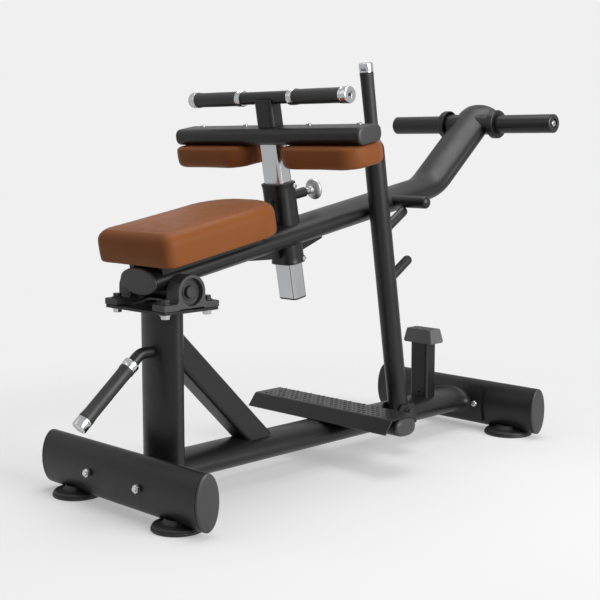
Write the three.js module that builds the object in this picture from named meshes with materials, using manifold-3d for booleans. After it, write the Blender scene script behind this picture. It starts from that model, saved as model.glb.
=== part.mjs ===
// Seated calf raise machine: a floor frame, a loading lever that carries the seat, an adjustable
// thigh pad post and a hand-operated safety bar. Millimetres, +X to the user's right, +Y forward
// to the weight horns, +Z up. The origin is on the floor at the centre of the machine's outline.

import * as THREE from 'three';
import { mergeVertices } from 'three/addons/utils/BufferGeometryUtils.js';
import Module from 'manifold-3d';

const wasm = await Module();
wasm.setup();

// Clearances
const SEAM = 0.3; // between parts that are welded, bolted or seated on each other
const SLIDE_GAP = 0.5; // around parts that slide or turn
const WELD_OVERLAP = 1; // how far a welded piece sinks into what it is welded to

// Base tubes and feet
const BASE_WIDTH = 530;
const BASE_HEIGHT = 120;
const BASE_DEPTH = 60;
const BASE_CENTRE_Z = 72;
const BASE_SPACING = 1140;
const TUBE_WALL = 3;
const END_CAP_FLANGE = 4;
const END_CAP_DOME = 3;
const END_CAP_PLUG = 16;
const FOOT_END_INSET = 94; // from the base tube's end to a foot's centre
const REAR_FOOT_RADIUS = 55;
const FRONT_FOOT_RADIUS = 63;
const FOOT_RIM_HEIGHT = 8;
const FOOT_RIM_ROUND = 2;
const FOOT_STEP_HEIGHT = 14;
const FOOT_STEP_INSET = 8;
const FOOT_CRADLE_RADIUS = 24;
const FOOT_CRADLE_HEIGHT = 24;
const FOOT_CRADLE_FILLET = 3;

// Main rail, its curved saddle plates and the bolts through the base tubes
const RAIL_WIDTH = 120;
const RAIL_HEIGHT = 60;
const RAIL_CENTRE_Z = 72;
const RAIL_DRAIN_RADIUS = 12;
const SADDLE_WIDTH = 212;
const SADDLE_HEIGHT = 88;
const SADDLE_THICKNESS = 6;
const BASE_BOLT_SPACING = 170;
const BASE_BOLT_RADIUS = 6;

// Upright, brace and pivot plate
const UPRIGHT_WIDTH = 120;
const UPRIGHT_DEPTH = 60;
const UPRIGHT_Y = 104.5;
const BRACE_WIDTH = 62;
const BRACE_THICKNESS = 58;
const BRACE_CORNER = 10;
const BRACE_HEIGHT_ON_UPRIGHT = 359;
const PLATE_WIDTH = 200;
const PLATE_LENGTH = 150;
const PLATE_THICKNESS = 6;
const PLATE_BOTTOM_Z = 419.5;
const PLATE_CORNER = 8;

// Pivot: two pillow blocks, their bearings, the shaft and its sleeve
const BLOCK_LENGTH = 148;
const BLOCK_WIDTH = 40;
const BLOCK_FOOT_HEIGHT = 14;
const BLOCK_ARCH_RADIUS = 36;
const BLOCK_ARCH_FOOT_LENGTH = 84;
const BLOCK_CHAMFER = 4;
const BLOCK_RELIEF_LENGTH = 68;
const BLOCK_RELIEF_HEIGHT = 3;
const BLOCK_RELIEF_SLOPE = 2;
const BLOCK_BOLT_SPACING = 112;
const BLOCK_BOLT_RADIUS = 5.5;
const BEARING_HEIGHT = 36;
const BEARING_OUTER_RADIUS = 28.5;
const BEARING_INNER_RADIUS = 18.5;
const BEARING_WIDTH = 24;
const BEARING_RING_REACH = 4; // how far the inner ring stands proud
const SHAFT_RADIUS = 12.5;
const SHAFT_END_INSET = 2;
const PIVOT_SLEEVE_RADIUS = 23;
const PIVOT_SLEEVE_INSET = 6;

// Lever, in its own frame: along it from the pivot, and up from the pivot axis
const LEVER_INCLINE = THREE.MathUtils.degToRad(10.29);
const LEVER_WIDTH = 120;
const LEVER_HEIGHT = 59;
const LEVER_WALL = 3.5;
const LEVER_REAR_OVERHANG = 54;
const LEVER_STRAIGHT = 925;
const LEVER_RISE_ANGLE = THREE.MathUtils.degToRad(30);
const LEVER_RISE_RADIUS = 125;
const LEVER_RISE_LENGTH = 242;
const LEVER_NOSE_ANGLE = THREE.MathUtils.degToRad(18);
const LEVER_NOSE_RADIUS = 72;
const LEVER_NOSE_LENGTH = 4;

// Weight horns
const HORN_RADIUS = 24;
const HORN_WALL = 4;
const HORN_HALF_SPAN = 261;
const HORN_BACK_FROM_NOSE = 21;
const HORN_LINER_RADIUS = 27.5;
const HORN_COLLAR_GAP = 12; // from the lever's flank to the collar
const HORN_COLLAR_RADIUS = 38;
const HORN_COLLAR_LENGTH = 18;
const HORN_COLLAR_WALL = 4;
const HORN_CAP_FLANGE = 5;
const HORN_CAP_ROUND = 2;
const HORN_CAP_DISH_RADIUS = 8;
const HORN_CAP_DISH_DEPTH = 3;

// Stop pin that rests on the catch peg
const STOP_PIN_RADIUS = 15;
const STOP_PIN_REACH = 158;
const STOP_PIN_ALONG = 716;
const STOP_PIN_UP = 35;
const STOP_PIN_DOME = 6;

// Seat
const SEAT_WIDTH = 250;
const SEAT_LENGTH = 356;
const SEAT_THICKNESS = 72;
const SEAT_CROWN = 4;
const SEAT_REAR_ALONG = -66;
const SEAT_LIFT = 4;
const SEAT_REAR_CORNER = 14;
const SEAT_FRONT_CORNER = 90;
const SEAT_BOTTOM_EDGE_RADIUS = 5;
const SEAT_TOP_EDGE_RADIUS = 20;
const CUSHION_PINCH = 0.012; // how far a pad's sides draw in, as a share of its half width
const CUSHION_BULGE = 1.5;
const SEAT_RAIL_WIDTH = 16;
const SEAT_RAIL_OFFSET = 47;
const SEAT_RAIL_LENGTH = 290;
const SEAT_RAIL_HEIGHT = 28;
const SEAT_STRAP_WIDTH = 40;
const SEAT_STRAP_THICKNESS = 3.4;

// Post sleeve, gussets and pop-pin
const SLEEVE_WIDTH = 78;
const SLEEVE_DEPTH = 59;
const SLEEVE_CORNER = 22;
const SLEEVE_ALONG = 377.5;
const SLEEVE_TOP = 150;
const SLEEVE_BOTTOM = -38.5;
const GUSSET_THICKNESS = 8;
const GUSSET_DROP = 24;
const GUSSET_REAR_LENGTH = 117.5;
const GUSSET_REAR_HEEL_LENGTH = 35;
const GUSSET_REAR_HEEL_DROP = 17;
const GUSSET_FRONT_LENGTH = 88.5;
const GUSSET_FRONT_TIP_DROP = 8;
const POP_PIN_UP = 111.5;
const POP_PIN_BARREL_RADIUS = 10.5;
const POP_PIN_BARREL_END = 81;
const POP_PIN_RADIUS = 5;
const POP_PIN_CHAMFER = 1;
const POP_PIN_NECK_RADIUS = 8.5;
const POP_PIN_KNOB_RADIUS = 24.5;
const POP_PIN_KNOB_HALF_LENGTH = 9;
const POP_PIN_KNOB_REACH = 33.7; // from the barrel's end to the knob's middle

// Sliding post with crossbar, thigh pads and handlebar
const POST_WIDTH = 58;
const POST_DEPTH = 42;
const POST_CORNER = 8;
const POST_WALL = 2.5;
const POST_BOTTOM = -124;
const POST_HOLE_PITCH = 20;
const POST_HOLES_BELOW = 5;
const POST_HOLES_ABOVE = 3;
const CROSSBAR_DEPTH = 75;
const CROSSBAR_HEIGHT = 38;
const CROSSBAR_HALF_SPAN = 298;
const CROSSBAR_CENTRE_UP = 259.5;
const CROSSBAR_SQUARENESS = 5; // power of its nearly square oval
const PAD_END_INSET = 1; // from the crossbar's end to the pad's
const PAD_POST_GAP = 31; // from the post's flank to the pad's inner end
const PAD_DEPTH = 126;
const PAD_THICKNESS = 52;
const PAD_CORNER = 45;
const PAD_CROWN = 5;
const PAD_BASE_EDGE_RADIUS = 4;
const PAD_FACE_EDGE_RADIUS = 14;
const STEM_WIDTH = 52;
const STEM_DEPTH = 40;
const STEM_CORNER = 9;
const HANDLEBAR_RADIUS = 14.3;
const HANDLEBAR_CENTRE_UP = 343.5;
const HANDLEBAR_HALF_SPAN = 253.5;
const HANDLEBAR_CAP_LENGTH = 21.5;
const HANDLEBAR_CAP_RADIUS = 18.5;
const HANDLEBAR_CAP_ROUND = 3;
const HANDLEBAR_CAP_DISH_RADIUS = 6;
const HANDLEBAR_CAP_DISH_DEPTH = 5;
const GRIP_THICKNESS = 3;
const GRIP_LENGTH = 140;
const GRIP_RING_RADIUS = 18.5;
const GRIP_RING_LENGTH = 16;

// Rear grab bar, used to tip and move the machine
const GRAB_HEIGHT = 329;
const GRAB_RADIUS = 12.5;
const GRAB_BEND_Y = 45;
const GRAB_BEND_RADIUS = 30;
const GRAB_DROP_ANGLE = THREE.MathUtils.degToRad(40);
const GRAB_COLLAR_RADIUS = 18;
const GRAB_COLLAR_START = 27;
const GRAB_COLLAR_LENGTH = 18;
const GRAB_GRIP_LENGTH = 140;
const GRAB_CAP_LENGTH = 22;
const GRAB_CAP_DEPTH = 14;
const GRAB_GRIP_THICKNESS = 4.3;
const GRAB_CAP_ROUND = 4;

// Footplate and its cross tube
const FOOTPLATE_WIDTH = 458;
const FOOTPLATE_SHEET = 4;
const FOOTPLATE_FRONT_Y = 592;
const FOOTPLATE_TREAD = 86;
const FOOTPLATE_LIP_RUN = 24;
const FOOTPLATE_LIP_DROP = 30;
const FOOTPLATE_BEND_RADIUS = 8;
const FOOT_TUBE_END_INSET = 2;
const FOOT_TUBE_DEPTH = 70;
const FOOT_TUBE_HEIGHT = 42;
const FOOT_TUBE_SQUARENESS = 2.6; // power of its full oval
const FOOT_TUBE_CENTRE_Y = 637;
const FOOT_TUBE_CENTRE_Z = 110;

// Bumper post on the rail
const BUMPER_Y = 988;
const BUMPER_POST_WIDTH = 56;
const BUMPER_POST_DEPTH = 40;
const BUMPER_POST_CORNER = 8;
const BUMPER_POST_TOP_Z = 244;
const BUMPER_BLOCK_WIDTH = 96;
const BUMPER_BLOCK_DEPTH = 52;
const BUMPER_BLOCK_HEIGHT = 38;
const BUMPER_BLOCK_TAPER = 8;
const BUMPER_BLOCK_CORNER = 6;
const BUMPER_SKIRT_INSET = 2;
const BUMPER_SKIRT_HEIGHT = 3;
const BUMPER_TOP_ROUND = 4;

// Safety bar and its bracket beside the rail
const BAR_X = 88;
const BAR_PIVOT_Y = 783;
const BAR_PIVOT_Z = 105;
const BAR_LEAN = THREE.MathUtils.degToRad(9);
const BAR_RADIUS = 25;
const BAR_WALL = 3;
const BAR_FOOT = 17;
const BAR_SHOULDER = 655;
const BAR_SHOULDER_LENGTH = 22;
const BAR_PLUG_LENGTH = 8;
const BAR_NECK_RADIUS = 12.5;
const BAR_NECK_LENGTH = 28; // bare neck between the shoulder and the grip
const BAR_GRIP_THICKNESS = 3.8;
const BAR_GRIP_LENGTH = 130.7;
const BAR_CAP_LENGTH = 22;
const BAR_CAP_ROUND = 4;
const PEG_RADIUS = 12;
const PEG_RISE = THREE.MathUtils.degToRad(23);
const PEG_CONTACT_ANGLE = THREE.MathUtils.degToRad(62);
const PEG_SPACING = 122;
const BRACKET_EAR = 5;
const BRACKET_EAR_GAP = 1;
const BRACKET_EAR_RISE = 20;
const BRACKET_BASE_DROP = 31;
const BRACKET_BASE_THICKNESS = 5;
const BRACKET_BASE_OVERLAP = 8; // how far the base runs on towards the rail
const BRACKET_HALF_LENGTH = 34;
const BAR_BOLT_RADIUS = 6;

// Fasteners
const HEX_HEAD_RADIUS = 10;
const HEX_HEAD_HEIGHT = 8;
const WASHER_RADIUS = 13;
const WASHER_THICKNESS = 3;
const BOLT_END = 3;

// How finely round shapes are faceted
const OVAL_SIDES = 24;
const ROUND_SIDES = 16;
const SMALL_SIDES = 8;
const POST_HOLE_SIDES = 12;
const CORNER_STEPS = 3;
const NOSE_STEPS = 3;

// Worked out from the sizes above
const plateTopZ = PLATE_BOTTOM_Z + PLATE_THICKNESS;
const pivotZ = plateTopZ + SEAM + BEARING_HEIGHT;
const blockInnerX = PLATE_WIDTH / 2 - BLOCK_WIDTH;
const leverCentreUp = LEVER_HEIGHT / 2;
const padWidth = CROSSBAR_HALF_SPAN - PAD_END_INSET - PAD_POST_GAP - POST_WIDTH / 2;
const crossbarTop = CROSSBAR_CENTRE_UP + CROSSBAR_HEIGHT / 2;
const crossbarBottom = CROSSBAR_CENTRE_UP - CROSSBAR_HEIGHT / 2;
const barGripStart = BAR_SHOULDER + BAR_SHOULDER_LENGTH + BAR_NECK_LENGTH;
const barCapStart = barGripStart + BAR_GRIP_LENGTH + SEAM;
const barTop = barCapStart + BAR_CAP_LENGTH;

const FINISHES = {
  blackCoat: { color: 0x1b1c1e, roughness: 0.42, metalness: 0.35 },
  castBlack: { color: 0x202123, roughness: 0.55, metalness: 0.4 },
  blackPlastic: { color: 0x141415, roughness: 0.5, metalness: 0 },
  greyPlastic: { color: 0x2b2c2e, roughness: 0.45, metalness: 0 },
  rubber: { color: 0x161617, roughness: 0.85, metalness: 0 },
  chrome: { color: 0xd4d6d9, roughness: 0.12, metalness: 1 },
  steel: { color: 0xb9bbbe, roughness: 0.3, metalness: 1 },
  leather: { color: 0x8a4a22, roughness: 0.5, metalness: 0 },
};

// Geometry helpers

function tidy(geometry) {
  // One closed body: only positions, shared corners merged, faces pointing out.
  const bare = new THREE.BufferGeometry();
  bare.setAttribute('position', geometry.getAttribute('position').clone());
  if (geometry.index) bare.setIndex(Array.from(geometry.index.array));
  const merged = mergeVertices(bare, 1e-4);
  const position = merged.getAttribute('position');
  const index = merged.index.array;
  const kept = [];
  let volume = 0;
  const a = new THREE.Vector3();
  const b = new THREE.Vector3();
  const c = new THREE.Vector3();
  for (let i = 0; i < index.length; i += 3) {
    const [p, q, r] = [index[i], index[i + 1], index[i + 2]];
    if (p === q || q === r || r === p) continue;
    a.fromBufferAttribute(position, p);
    b.fromBufferAttribute(position, q);
    c.fromBufferAttribute(position, r);
    volume += a.dot(b.cross(c));
    kept.push(p, q, r);
  }
  if (volume < 0) {
    for (let i = 0; i < kept.length; i += 3) [kept[i], kept[i + 1]] = [kept[i + 1], kept[i]];
  }
  merged.setIndex(kept);
  merged.computeVertexNormals();
  return merged;
}

function toSolid(geometry) {
  const clean = tidy(geometry);
  return new wasm.Manifold(new wasm.Mesh({
    numProp: 3,
    vertProperties: new Float32Array(clean.getAttribute('position').array),
    triVerts: new Uint32Array(clean.index.array),
  }));
}

function fromSolid(solid) {
  const mesh = solid.getMesh();
  const geometry = new THREE.BufferGeometry();
  geometry.setAttribute('position', new THREE.BufferAttribute(new Float32Array(mesh.vertProperties), 3));
  geometry.setIndex(Array.from(mesh.triVerts));
  return tidy(geometry);
}

function cut(geometry, ...tools) {
  return fromSolid(tools.reduce((solid, tool) => solid.subtract(toSolid(tool)), toSolid(geometry)));
}

function join(...geometries) {
  return fromSolid(geometries.map(toSolid).reduce((solid, other) => solid.add(other)));
}

function common(geometry, tool) {
  return fromSolid(toSolid(geometry).intersect(toSolid(tool)));
}

function moved(geometry, x, y, z) {
  return geometry.clone().translate(x, y, z);
}

function mirroredX(geometry) {
  return tidy(geometry.clone().scale(-1, 1, 1));
}

function oval(width, height, power = 2, sides = OVAL_SIDES) {
  return Array.from({ length: sides }, (_, i) => {
    const angle = (2 * Math.PI * i) / sides;
    const [c, s] = [Math.cos(angle), Math.sin(angle)];
    return new THREE.Vector2(
      (Math.sign(c) * Math.abs(c) ** (2 / power) * width) / 2,
      (Math.sign(s) * Math.abs(s) ** (2 / power) * height) / 2,
    );
  });
}

function roundedBox(width, height, radii, steps = CORNER_STEPS) {
  // Corner radii run anticlockwise from the corner at +width, +height.
  const list = Array.isArray(radii) ? radii : [radii, radii, radii, radii];
  const signs = [[1, 1], [-1, 1], [-1, -1], [1, -1]];
  return signs.flatMap(([sx, sy], corner) => {
    const radius = list[corner];
    return Array.from({ length: steps + 1 }, (_, i) => {
      const angle = ((corner + i / steps) * Math.PI) / 2;
      return new THREE.Vector2(
        sx * (width / 2 - radius) + radius * Math.cos(angle),
        sy * (height / 2 - radius) + radius * Math.sin(angle),
      );
    });
  });
}

function prismZ(outline, z0, z1, holes = []) {
  const shape = new THREE.Shape(outline);
  shape.holes = holes.map((hole) => new THREE.Path(hole));
  return new THREE.ExtrudeGeometry(shape, { depth: z1 - z0, bevelEnabled: false }).translate(0, 0, z0);
}

function prismX(outline, x0, x1, holes = []) {
  // The outline's first number runs along Y and its second along Z.
  const turn = new THREE.Matrix4().makeBasis(
    new THREE.Vector3(0, 1, 0),
    new THREE.Vector3(0, 0, 1),
    new THREE.Vector3(1, 0, 0),
  );
  return prismZ(outline, x0, x1, holes).applyMatrix4(turn);
}

function prismY(outline, y0, y1, holes = []) {
  // The outline's first number runs along X and its second along Z.
  return prismZ(outline, -y1, -y0, holes).rotateX(Math.PI / 2);
}

function turnedZ(profile, sides = ROUND_SIDES) {
  // Profile points are [radius, height].
  const points = profile.map(([radius, height]) => new THREE.Vector2(radius, height));
  return new THREE.LatheGeometry(points, sides).rotateX(Math.PI / 2);
}

function turnedX(profile, sides = ROUND_SIDES) {
  return turnedZ(profile, sides).rotateY(Math.PI / 2);
}

function turnedY(profile, sides = ROUND_SIDES) {
  return turnedZ(profile, sides).rotateX(-Math.PI / 2);
}

function rod(radius, from, to) {
  return [[0, from], [radius, from], [radius, to], [0, to]];
}

function pipe(outer, inner, from, to) {
  return [[inner, from], [outer, from], [outer, to], [inner, to], [inner, from]];
}

function domed(radius, from, to, dome) {
  const steps = 4;
  const arc = Array.from({ length: steps + 1 }, (_, i) => {
    const angle = (i / steps) * (Math.PI / 2);
    return [radius * Math.cos(angle), to - dome + dome * Math.sin(angle)];
  });
  return [[0, from], [radius, from], ...arc];
}

function hexPrism(radius, from, to) {
  const outline = Array.from({ length: 6 }, (_, i) => {
    const angle = (i * Math.PI) / 3;
    return new THREE.Vector2(radius * Math.cos(angle), radius * Math.sin(angle));
  });
  return prismZ(outline, from, to);
}

function boltStack(shankRadius, grip) {
  // A bolt along Z: head and washer below zero, nut, washer and thread end above the grip.
  const head = -SEAM - WASHER_THICKNESS;
  const nut = grip + SEAM + WASHER_THICKNESS;
  const turned = turnedZ([
    [0, head], [WASHER_RADIUS, head], [WASHER_RADIUS, -SEAM], [shankRadius, -SEAM],
    [shankRadius, grip + SEAM], [WASHER_RADIUS, grip + SEAM], [WASHER_RADIUS, nut], [shankRadius, nut],
    [shankRadius, nut + HEX_HEAD_HEIGHT + BOLT_END], [0, nut + HEX_HEAD_HEIGHT + BOLT_END],
  ], SMALL_SIDES);
  return join(
    turned,
    hexPrism(HEX_HEAD_RADIUS, head - HEX_HEAD_HEIGHT, head + 1),
    hexPrism(HEX_HEAD_RADIUS, nut - 1, nut + HEX_HEAD_HEIGHT),
  );
}

function loft(rings, hollow = []) {
  // Skins a run of rings of Vector3; with inner rings too it makes a tube with a wall.
  const sides = rings[0].length;
  const positions = [];
  const index = [];
  const push = (ring) => {
    const start = positions.length / 3;
    ring.forEach((p) => positions.push(p.x, p.y, p.z));
    return start;
  };
  const strip = (a, b) => {
    for (let i = 0; i < sides; i += 1) {
      const j = (i + 1) % sides;
      index.push(a + i, a + j, b + j, a + i, b + j, b + i);
    }
  };
  const outer = rings.map(push);
  for (let i = 1; i < outer.length; i += 1) strip(outer[i - 1], outer[i]);
  if (hollow.length) {
    const inner = hollow.map(push);
    for (let i = 1; i < inner.length; i += 1) strip(inner[i], inner[i - 1]);
    strip(inner[0], outer[0]);
    strip(outer[outer.length - 1], inner[inner.length - 1]);
  } else {
    [[outer[0], true], [outer[outer.length - 1], false]].forEach(([start, first]) => {
      for (let i = 1; i < sides - 1; i += 1) {
        if (first) index.push(start, start + i + 1, start + i);
        else index.push(start, start + i, start + i + 1);
      }
    });
  }
  const geometry = new THREE.BufferGeometry();
  geometry.setAttribute('position', new THREE.Float32BufferAttribute(positions, 3));
  geometry.setIndex(index);
  return tidy(geometry);
}

function ringOnPath(outline, station) {
  // The outline's first number runs along X, its second square to the path in the YZ plane.
  const { y, z, angle } = station;
  return outline.map((p) => new THREE.Vector3(p.x, y - p.y * Math.sin(angle), z + p.y * Math.cos(angle)));
}

function bentPath(start, moves) {
  // Walks lines and arcs in the YZ plane and returns the stations passed on the way.
  const stations = [{ ...start }];
  let { y, z, angle } = start;
  moves.forEach(({ length = 0, turn = 0, radius = 0, steps = 6 }) => {
    const count = turn ? steps : 1;
    for (let i = 0; i < count; i += 1) {
      const part = turn / count;
      const step = turn ? 2 * radius * Math.sin(Math.abs(part) / 2) : length;
      y += step * Math.cos(angle + part / 2);
      z += step * Math.sin(angle + part / 2);
      angle += part;
      stations.push({ y, z, angle });
    }
  });
  return stations;
}

function stationAfter(station, distance) {
  return {
    y: station.y + distance * Math.cos(station.angle),
    z: station.z + distance * Math.sin(station.angle),
    angle: station.angle,
  };
}

function cushion({ width, length, thickness, crown, corners, bottomEdge, topEdge }) {
  // A sewn pad on its XY plane: flat base, drawn-in sides, rounded edges and a crowned top.
  const plan = roundedBox(width, length, corners, 4);
  const ringAt = (inset, z, bulge) => plan.map((p) => {
    const u = p.x / (width / 2);
    const v = p.y / (length / 2);
    const x = p.x * (1 - (inset / (width / 2)) - CUSHION_PINCH * (1 - v * v)) + Math.sign(p.x) * bulge;
    const y = p.y * (1 - (inset / (length / 2)) - CUSHION_PINCH * (1 - u * u)) + Math.sign(p.y) * bulge;
    return new THREE.Vector3(x, y, z);
  });
  const rings = [
    ringAt(bottomEdge, 0, 0), ringAt(bottomEdge * 0.3, bottomEdge * 0.3, 0),
    ringAt(0, bottomEdge, 0), ringAt(0, thickness * 0.5, CUSHION_BULGE),
  ];
  const edgeSteps = 3;
  for (let i = 0; i <= edgeSteps; i += 1) {
    const angle = (i / edgeSteps) * (Math.PI / 2);
    rings.push(ringAt(topEdge * (1 - Math.cos(angle)), thickness - topEdge * (1 - Math.sin(angle)), 0));
  }
  const crownSteps = 3;
  const half = Math.min(width, length) / 2;
  for (let i = 1; i <= crownSteps; i += 1) {
    const inset = topEdge + ((half - topEdge) * i) / (crownSteps + 0.6);
    const rise = 1 - (1 - (inset - topEdge) / (half - topEdge)) ** 2;
    rings.push(ringAt(inset, thickness + crown * rise, 0));
  }
  return loft(rings);
}

// Shapes that several parts are cut from or cut by

function baseOval(grow, x0, x1) {
  return prismX(oval(BASE_DEPTH + 2 * grow, BASE_HEIGHT + 2 * grow), x0, x1);
}

function railOval(grow, y0, y1) {
  return prismY(oval(RAIL_WIDTH + 2 * grow, RAIL_HEIGHT + 2 * grow), y0, y1).translate(0, 0, RAIL_CENTRE_Z);
}

function railEnvelope() {
  return railOval(SEAM, 0, BASE_SPACING);
}

function uprightEnvelope() {
  const outline = oval(UPRIGHT_WIDTH + 2 * SEAM, UPRIGHT_DEPTH + 2 * SEAM);
  return prismZ(outline, RAIL_CENTRE_Z, PLATE_BOTTOM_Z).translate(0, UPRIGHT_Y, 0);
}

function ovalEndCap(width, height, power) {
  // A domed cap with its plug, along +Z, with zero at the tube's cut end.
  const bore = [width - 2 * TUBE_WALL - 2 * SEAM, height - 2 * TUBE_WALL - 2 * SEAM];
  const ring = (w, h, z) => oval(w, h, power).map((p) => new THREE.Vector3(p.x, p.y, z));
  return loft([
    ring(bore[0], bore[1], -END_CAP_PLUG), ring(bore[0], bore[1], SEAM), ring(width, height, SEAM),
    ring(width, height, END_CAP_FLANGE), ring(width * 0.8, height * 0.8, END_CAP_FLANGE + END_CAP_DOME),
  ]);
}

// Frame parts

function baseTube() {
  const half = BASE_WIDTH / 2 - END_CAP_FLANGE - END_CAP_DOME;
  const hollow = [oval(BASE_DEPTH - 2 * TUBE_WALL, BASE_HEIGHT - 2 * TUBE_WALL)];
  const tube = prismX(oval(BASE_DEPTH, BASE_HEIGHT), -half, half, hollow);
  const hole = turnedY(rod(BASE_BOLT_RADIUS + SEAM, -BASE_DEPTH, BASE_DEPTH), SMALL_SIDES);
  const holes = [-1, 1].map((side) => moved(hole, (side * BASE_BOLT_SPACING) / 2, 0, 0));
  return cut(tube, ...holes);
}

function baseEndCap() {
  const start = BASE_WIDTH / 2 - END_CAP_FLANGE - END_CAP_DOME;
  return ovalEndCap(BASE_HEIGHT, BASE_DEPTH, 2).rotateY(Math.PI / 2).translate(start, 0, 0);
}

function saddlePlate() {
  // The curved plate on the rear base tube, facing +Y.
  const shell = cut(
    baseOval(SEAM + SADDLE_THICKNESS, -SADDLE_WIDTH / 2, SADDLE_WIDTH / 2),
    baseOval(SEAM, -SADDLE_WIDTH, SADDLE_WIDTH),
  );
  const keep = new THREE.BoxGeometry(SADDLE_WIDTH, BASE_DEPTH, SADDLE_HEIGHT)
    .translate(0, BASE_DEPTH / 2, 0);
  const hole = turnedY(rod(BASE_BOLT_RADIUS + SEAM, 0, BASE_DEPTH), SMALL_SIDES);
  const holes = [-1, 1].map((side) => moved(hole, (side * BASE_BOLT_SPACING) / 2, 0, 0));
  return cut(common(shell, keep), ...holes);
}

function baseBolt() {
  // The right-hand bolt, with its head outside the base tube.
  const grip = BASE_DEPTH + SADDLE_THICKNESS + 2 * SEAM;
  const bolt = boltStack(BASE_BOLT_RADIUS, grip).rotateX(-Math.PI / 2);
  return bolt.translate(BASE_BOLT_SPACING / 2, -BASE_DEPTH / 2, 0);
}

function foot(radius) {
  const profile = [
    [0, 0], [radius - FOOT_RIM_ROUND, 0], [radius, FOOT_RIM_ROUND], [radius, FOOT_RIM_HEIGHT],
    [radius - FOOT_STEP_INSET, FOOT_STEP_HEIGHT],
    [FOOT_CRADLE_RADIUS + FOOT_CRADLE_FILLET, FOOT_STEP_HEIGHT + 1],
    [FOOT_CRADLE_RADIUS, FOOT_CRADLE_HEIGHT], [0, FOOT_CRADLE_HEIGHT],
  ];
  const tube = baseOval(SEAM, -BASE_WIDTH, BASE_WIDTH).translate(0, 0, BASE_CENTRE_Z);
  return cut(turnedZ(profile, OVAL_SIDES), tube).translate(BASE_WIDTH / 2 - FOOT_END_INSET, 0, 0);
}

function mainRail() {
  // The oval rail with a saddle plate welded to each end, and a drain hole through each plate.
  const outline = oval(RAIL_WIDTH, RAIL_HEIGHT);
  const hollow = [oval(RAIL_WIDTH - 2 * TUBE_WALL, RAIL_HEIGHT - 2 * TUBE_WALL)];
  const tube = prismY(outline, 0, BASE_SPACING, hollow).translate(0, 0, RAIL_CENTRE_Z);
  const base = baseOval(SEAM, -BASE_WIDTH, BASE_WIDTH).translate(0, 0, RAIL_CENTRE_Z);
  const saddle = saddlePlate().translate(0, 0, RAIL_CENTRE_Z);
  const facing = saddle.clone().rotateZ(Math.PI).translate(0, BASE_SPACING, 0);
  const drain = turnedY(rod(RAIL_DRAIN_RADIUS, 0, BASE_SPACING), SMALL_SIDES).translate(0, 0, RAIL_CENTRE_Z);
  return cut(join(cut(tube, base, moved(base, 0, BASE_SPACING, 0)), saddle, facing), drain);
}

function rearUpright() {
  const hollow = [oval(UPRIGHT_WIDTH - 2 * TUBE_WALL, UPRIGHT_DEPTH - 2 * TUBE_WALL)];
  const tube = prismZ(oval(UPRIGHT_WIDTH, UPRIGHT_DEPTH), RAIL_CENTRE_Z, PLATE_BOTTOM_Z - SEAM, hollow);
  return cut(tube.translate(0, UPRIGHT_Y, 0), railEnvelope());
}

function diagonalBrace() {
  // Runs down at 45 degrees from the upright's centre line to the rail's.
  const drop = BRACE_HEIGHT_ON_UPRIGHT - RAIL_CENTRE_Z;
  const outline = roundedBox(BRACE_WIDTH, BRACE_THICKNESS, BRACE_CORNER);
  const inner = roundedBox(
    BRACE_WIDTH - 2 * TUBE_WALL,
    BRACE_THICKNESS - 2 * TUBE_WALL,
    BRACE_CORNER - TUBE_WALL,
  );
  const tube = prismY(outline, 0, drop * Math.SQRT2, [inner]).rotateX(-Math.PI / 4);
  return cut(tube.translate(0, UPRIGHT_Y, BRACE_HEIGHT_ON_UPRIGHT), uprightEnvelope(), railEnvelope());
}

function pivotPlate() {
  const outline = roundedBox(PLATE_WIDTH, PLATE_LENGTH, PLATE_CORNER);
  const plate = prismZ(outline, PLATE_BOTTOM_Z, plateTopZ).translate(0, UPRIGHT_Y, 0);
  const hole = turnedZ(rod(BLOCK_BOLT_RADIUS + SEAM, PLATE_BOTTOM_Z - 1, plateTopZ + 1), SMALL_SIDES);
  const x = PLATE_WIDTH / 2 - BLOCK_WIDTH / 2;
  const y = BLOCK_BOLT_SPACING / 2;
  const places = [[x, y], [-x, y], [x, -y], [-x, -y]];
  return cut(plate, ...places.map(([across, along]) => moved(hole, across, UPRIGHT_Y + along, 0)));
}

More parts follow.
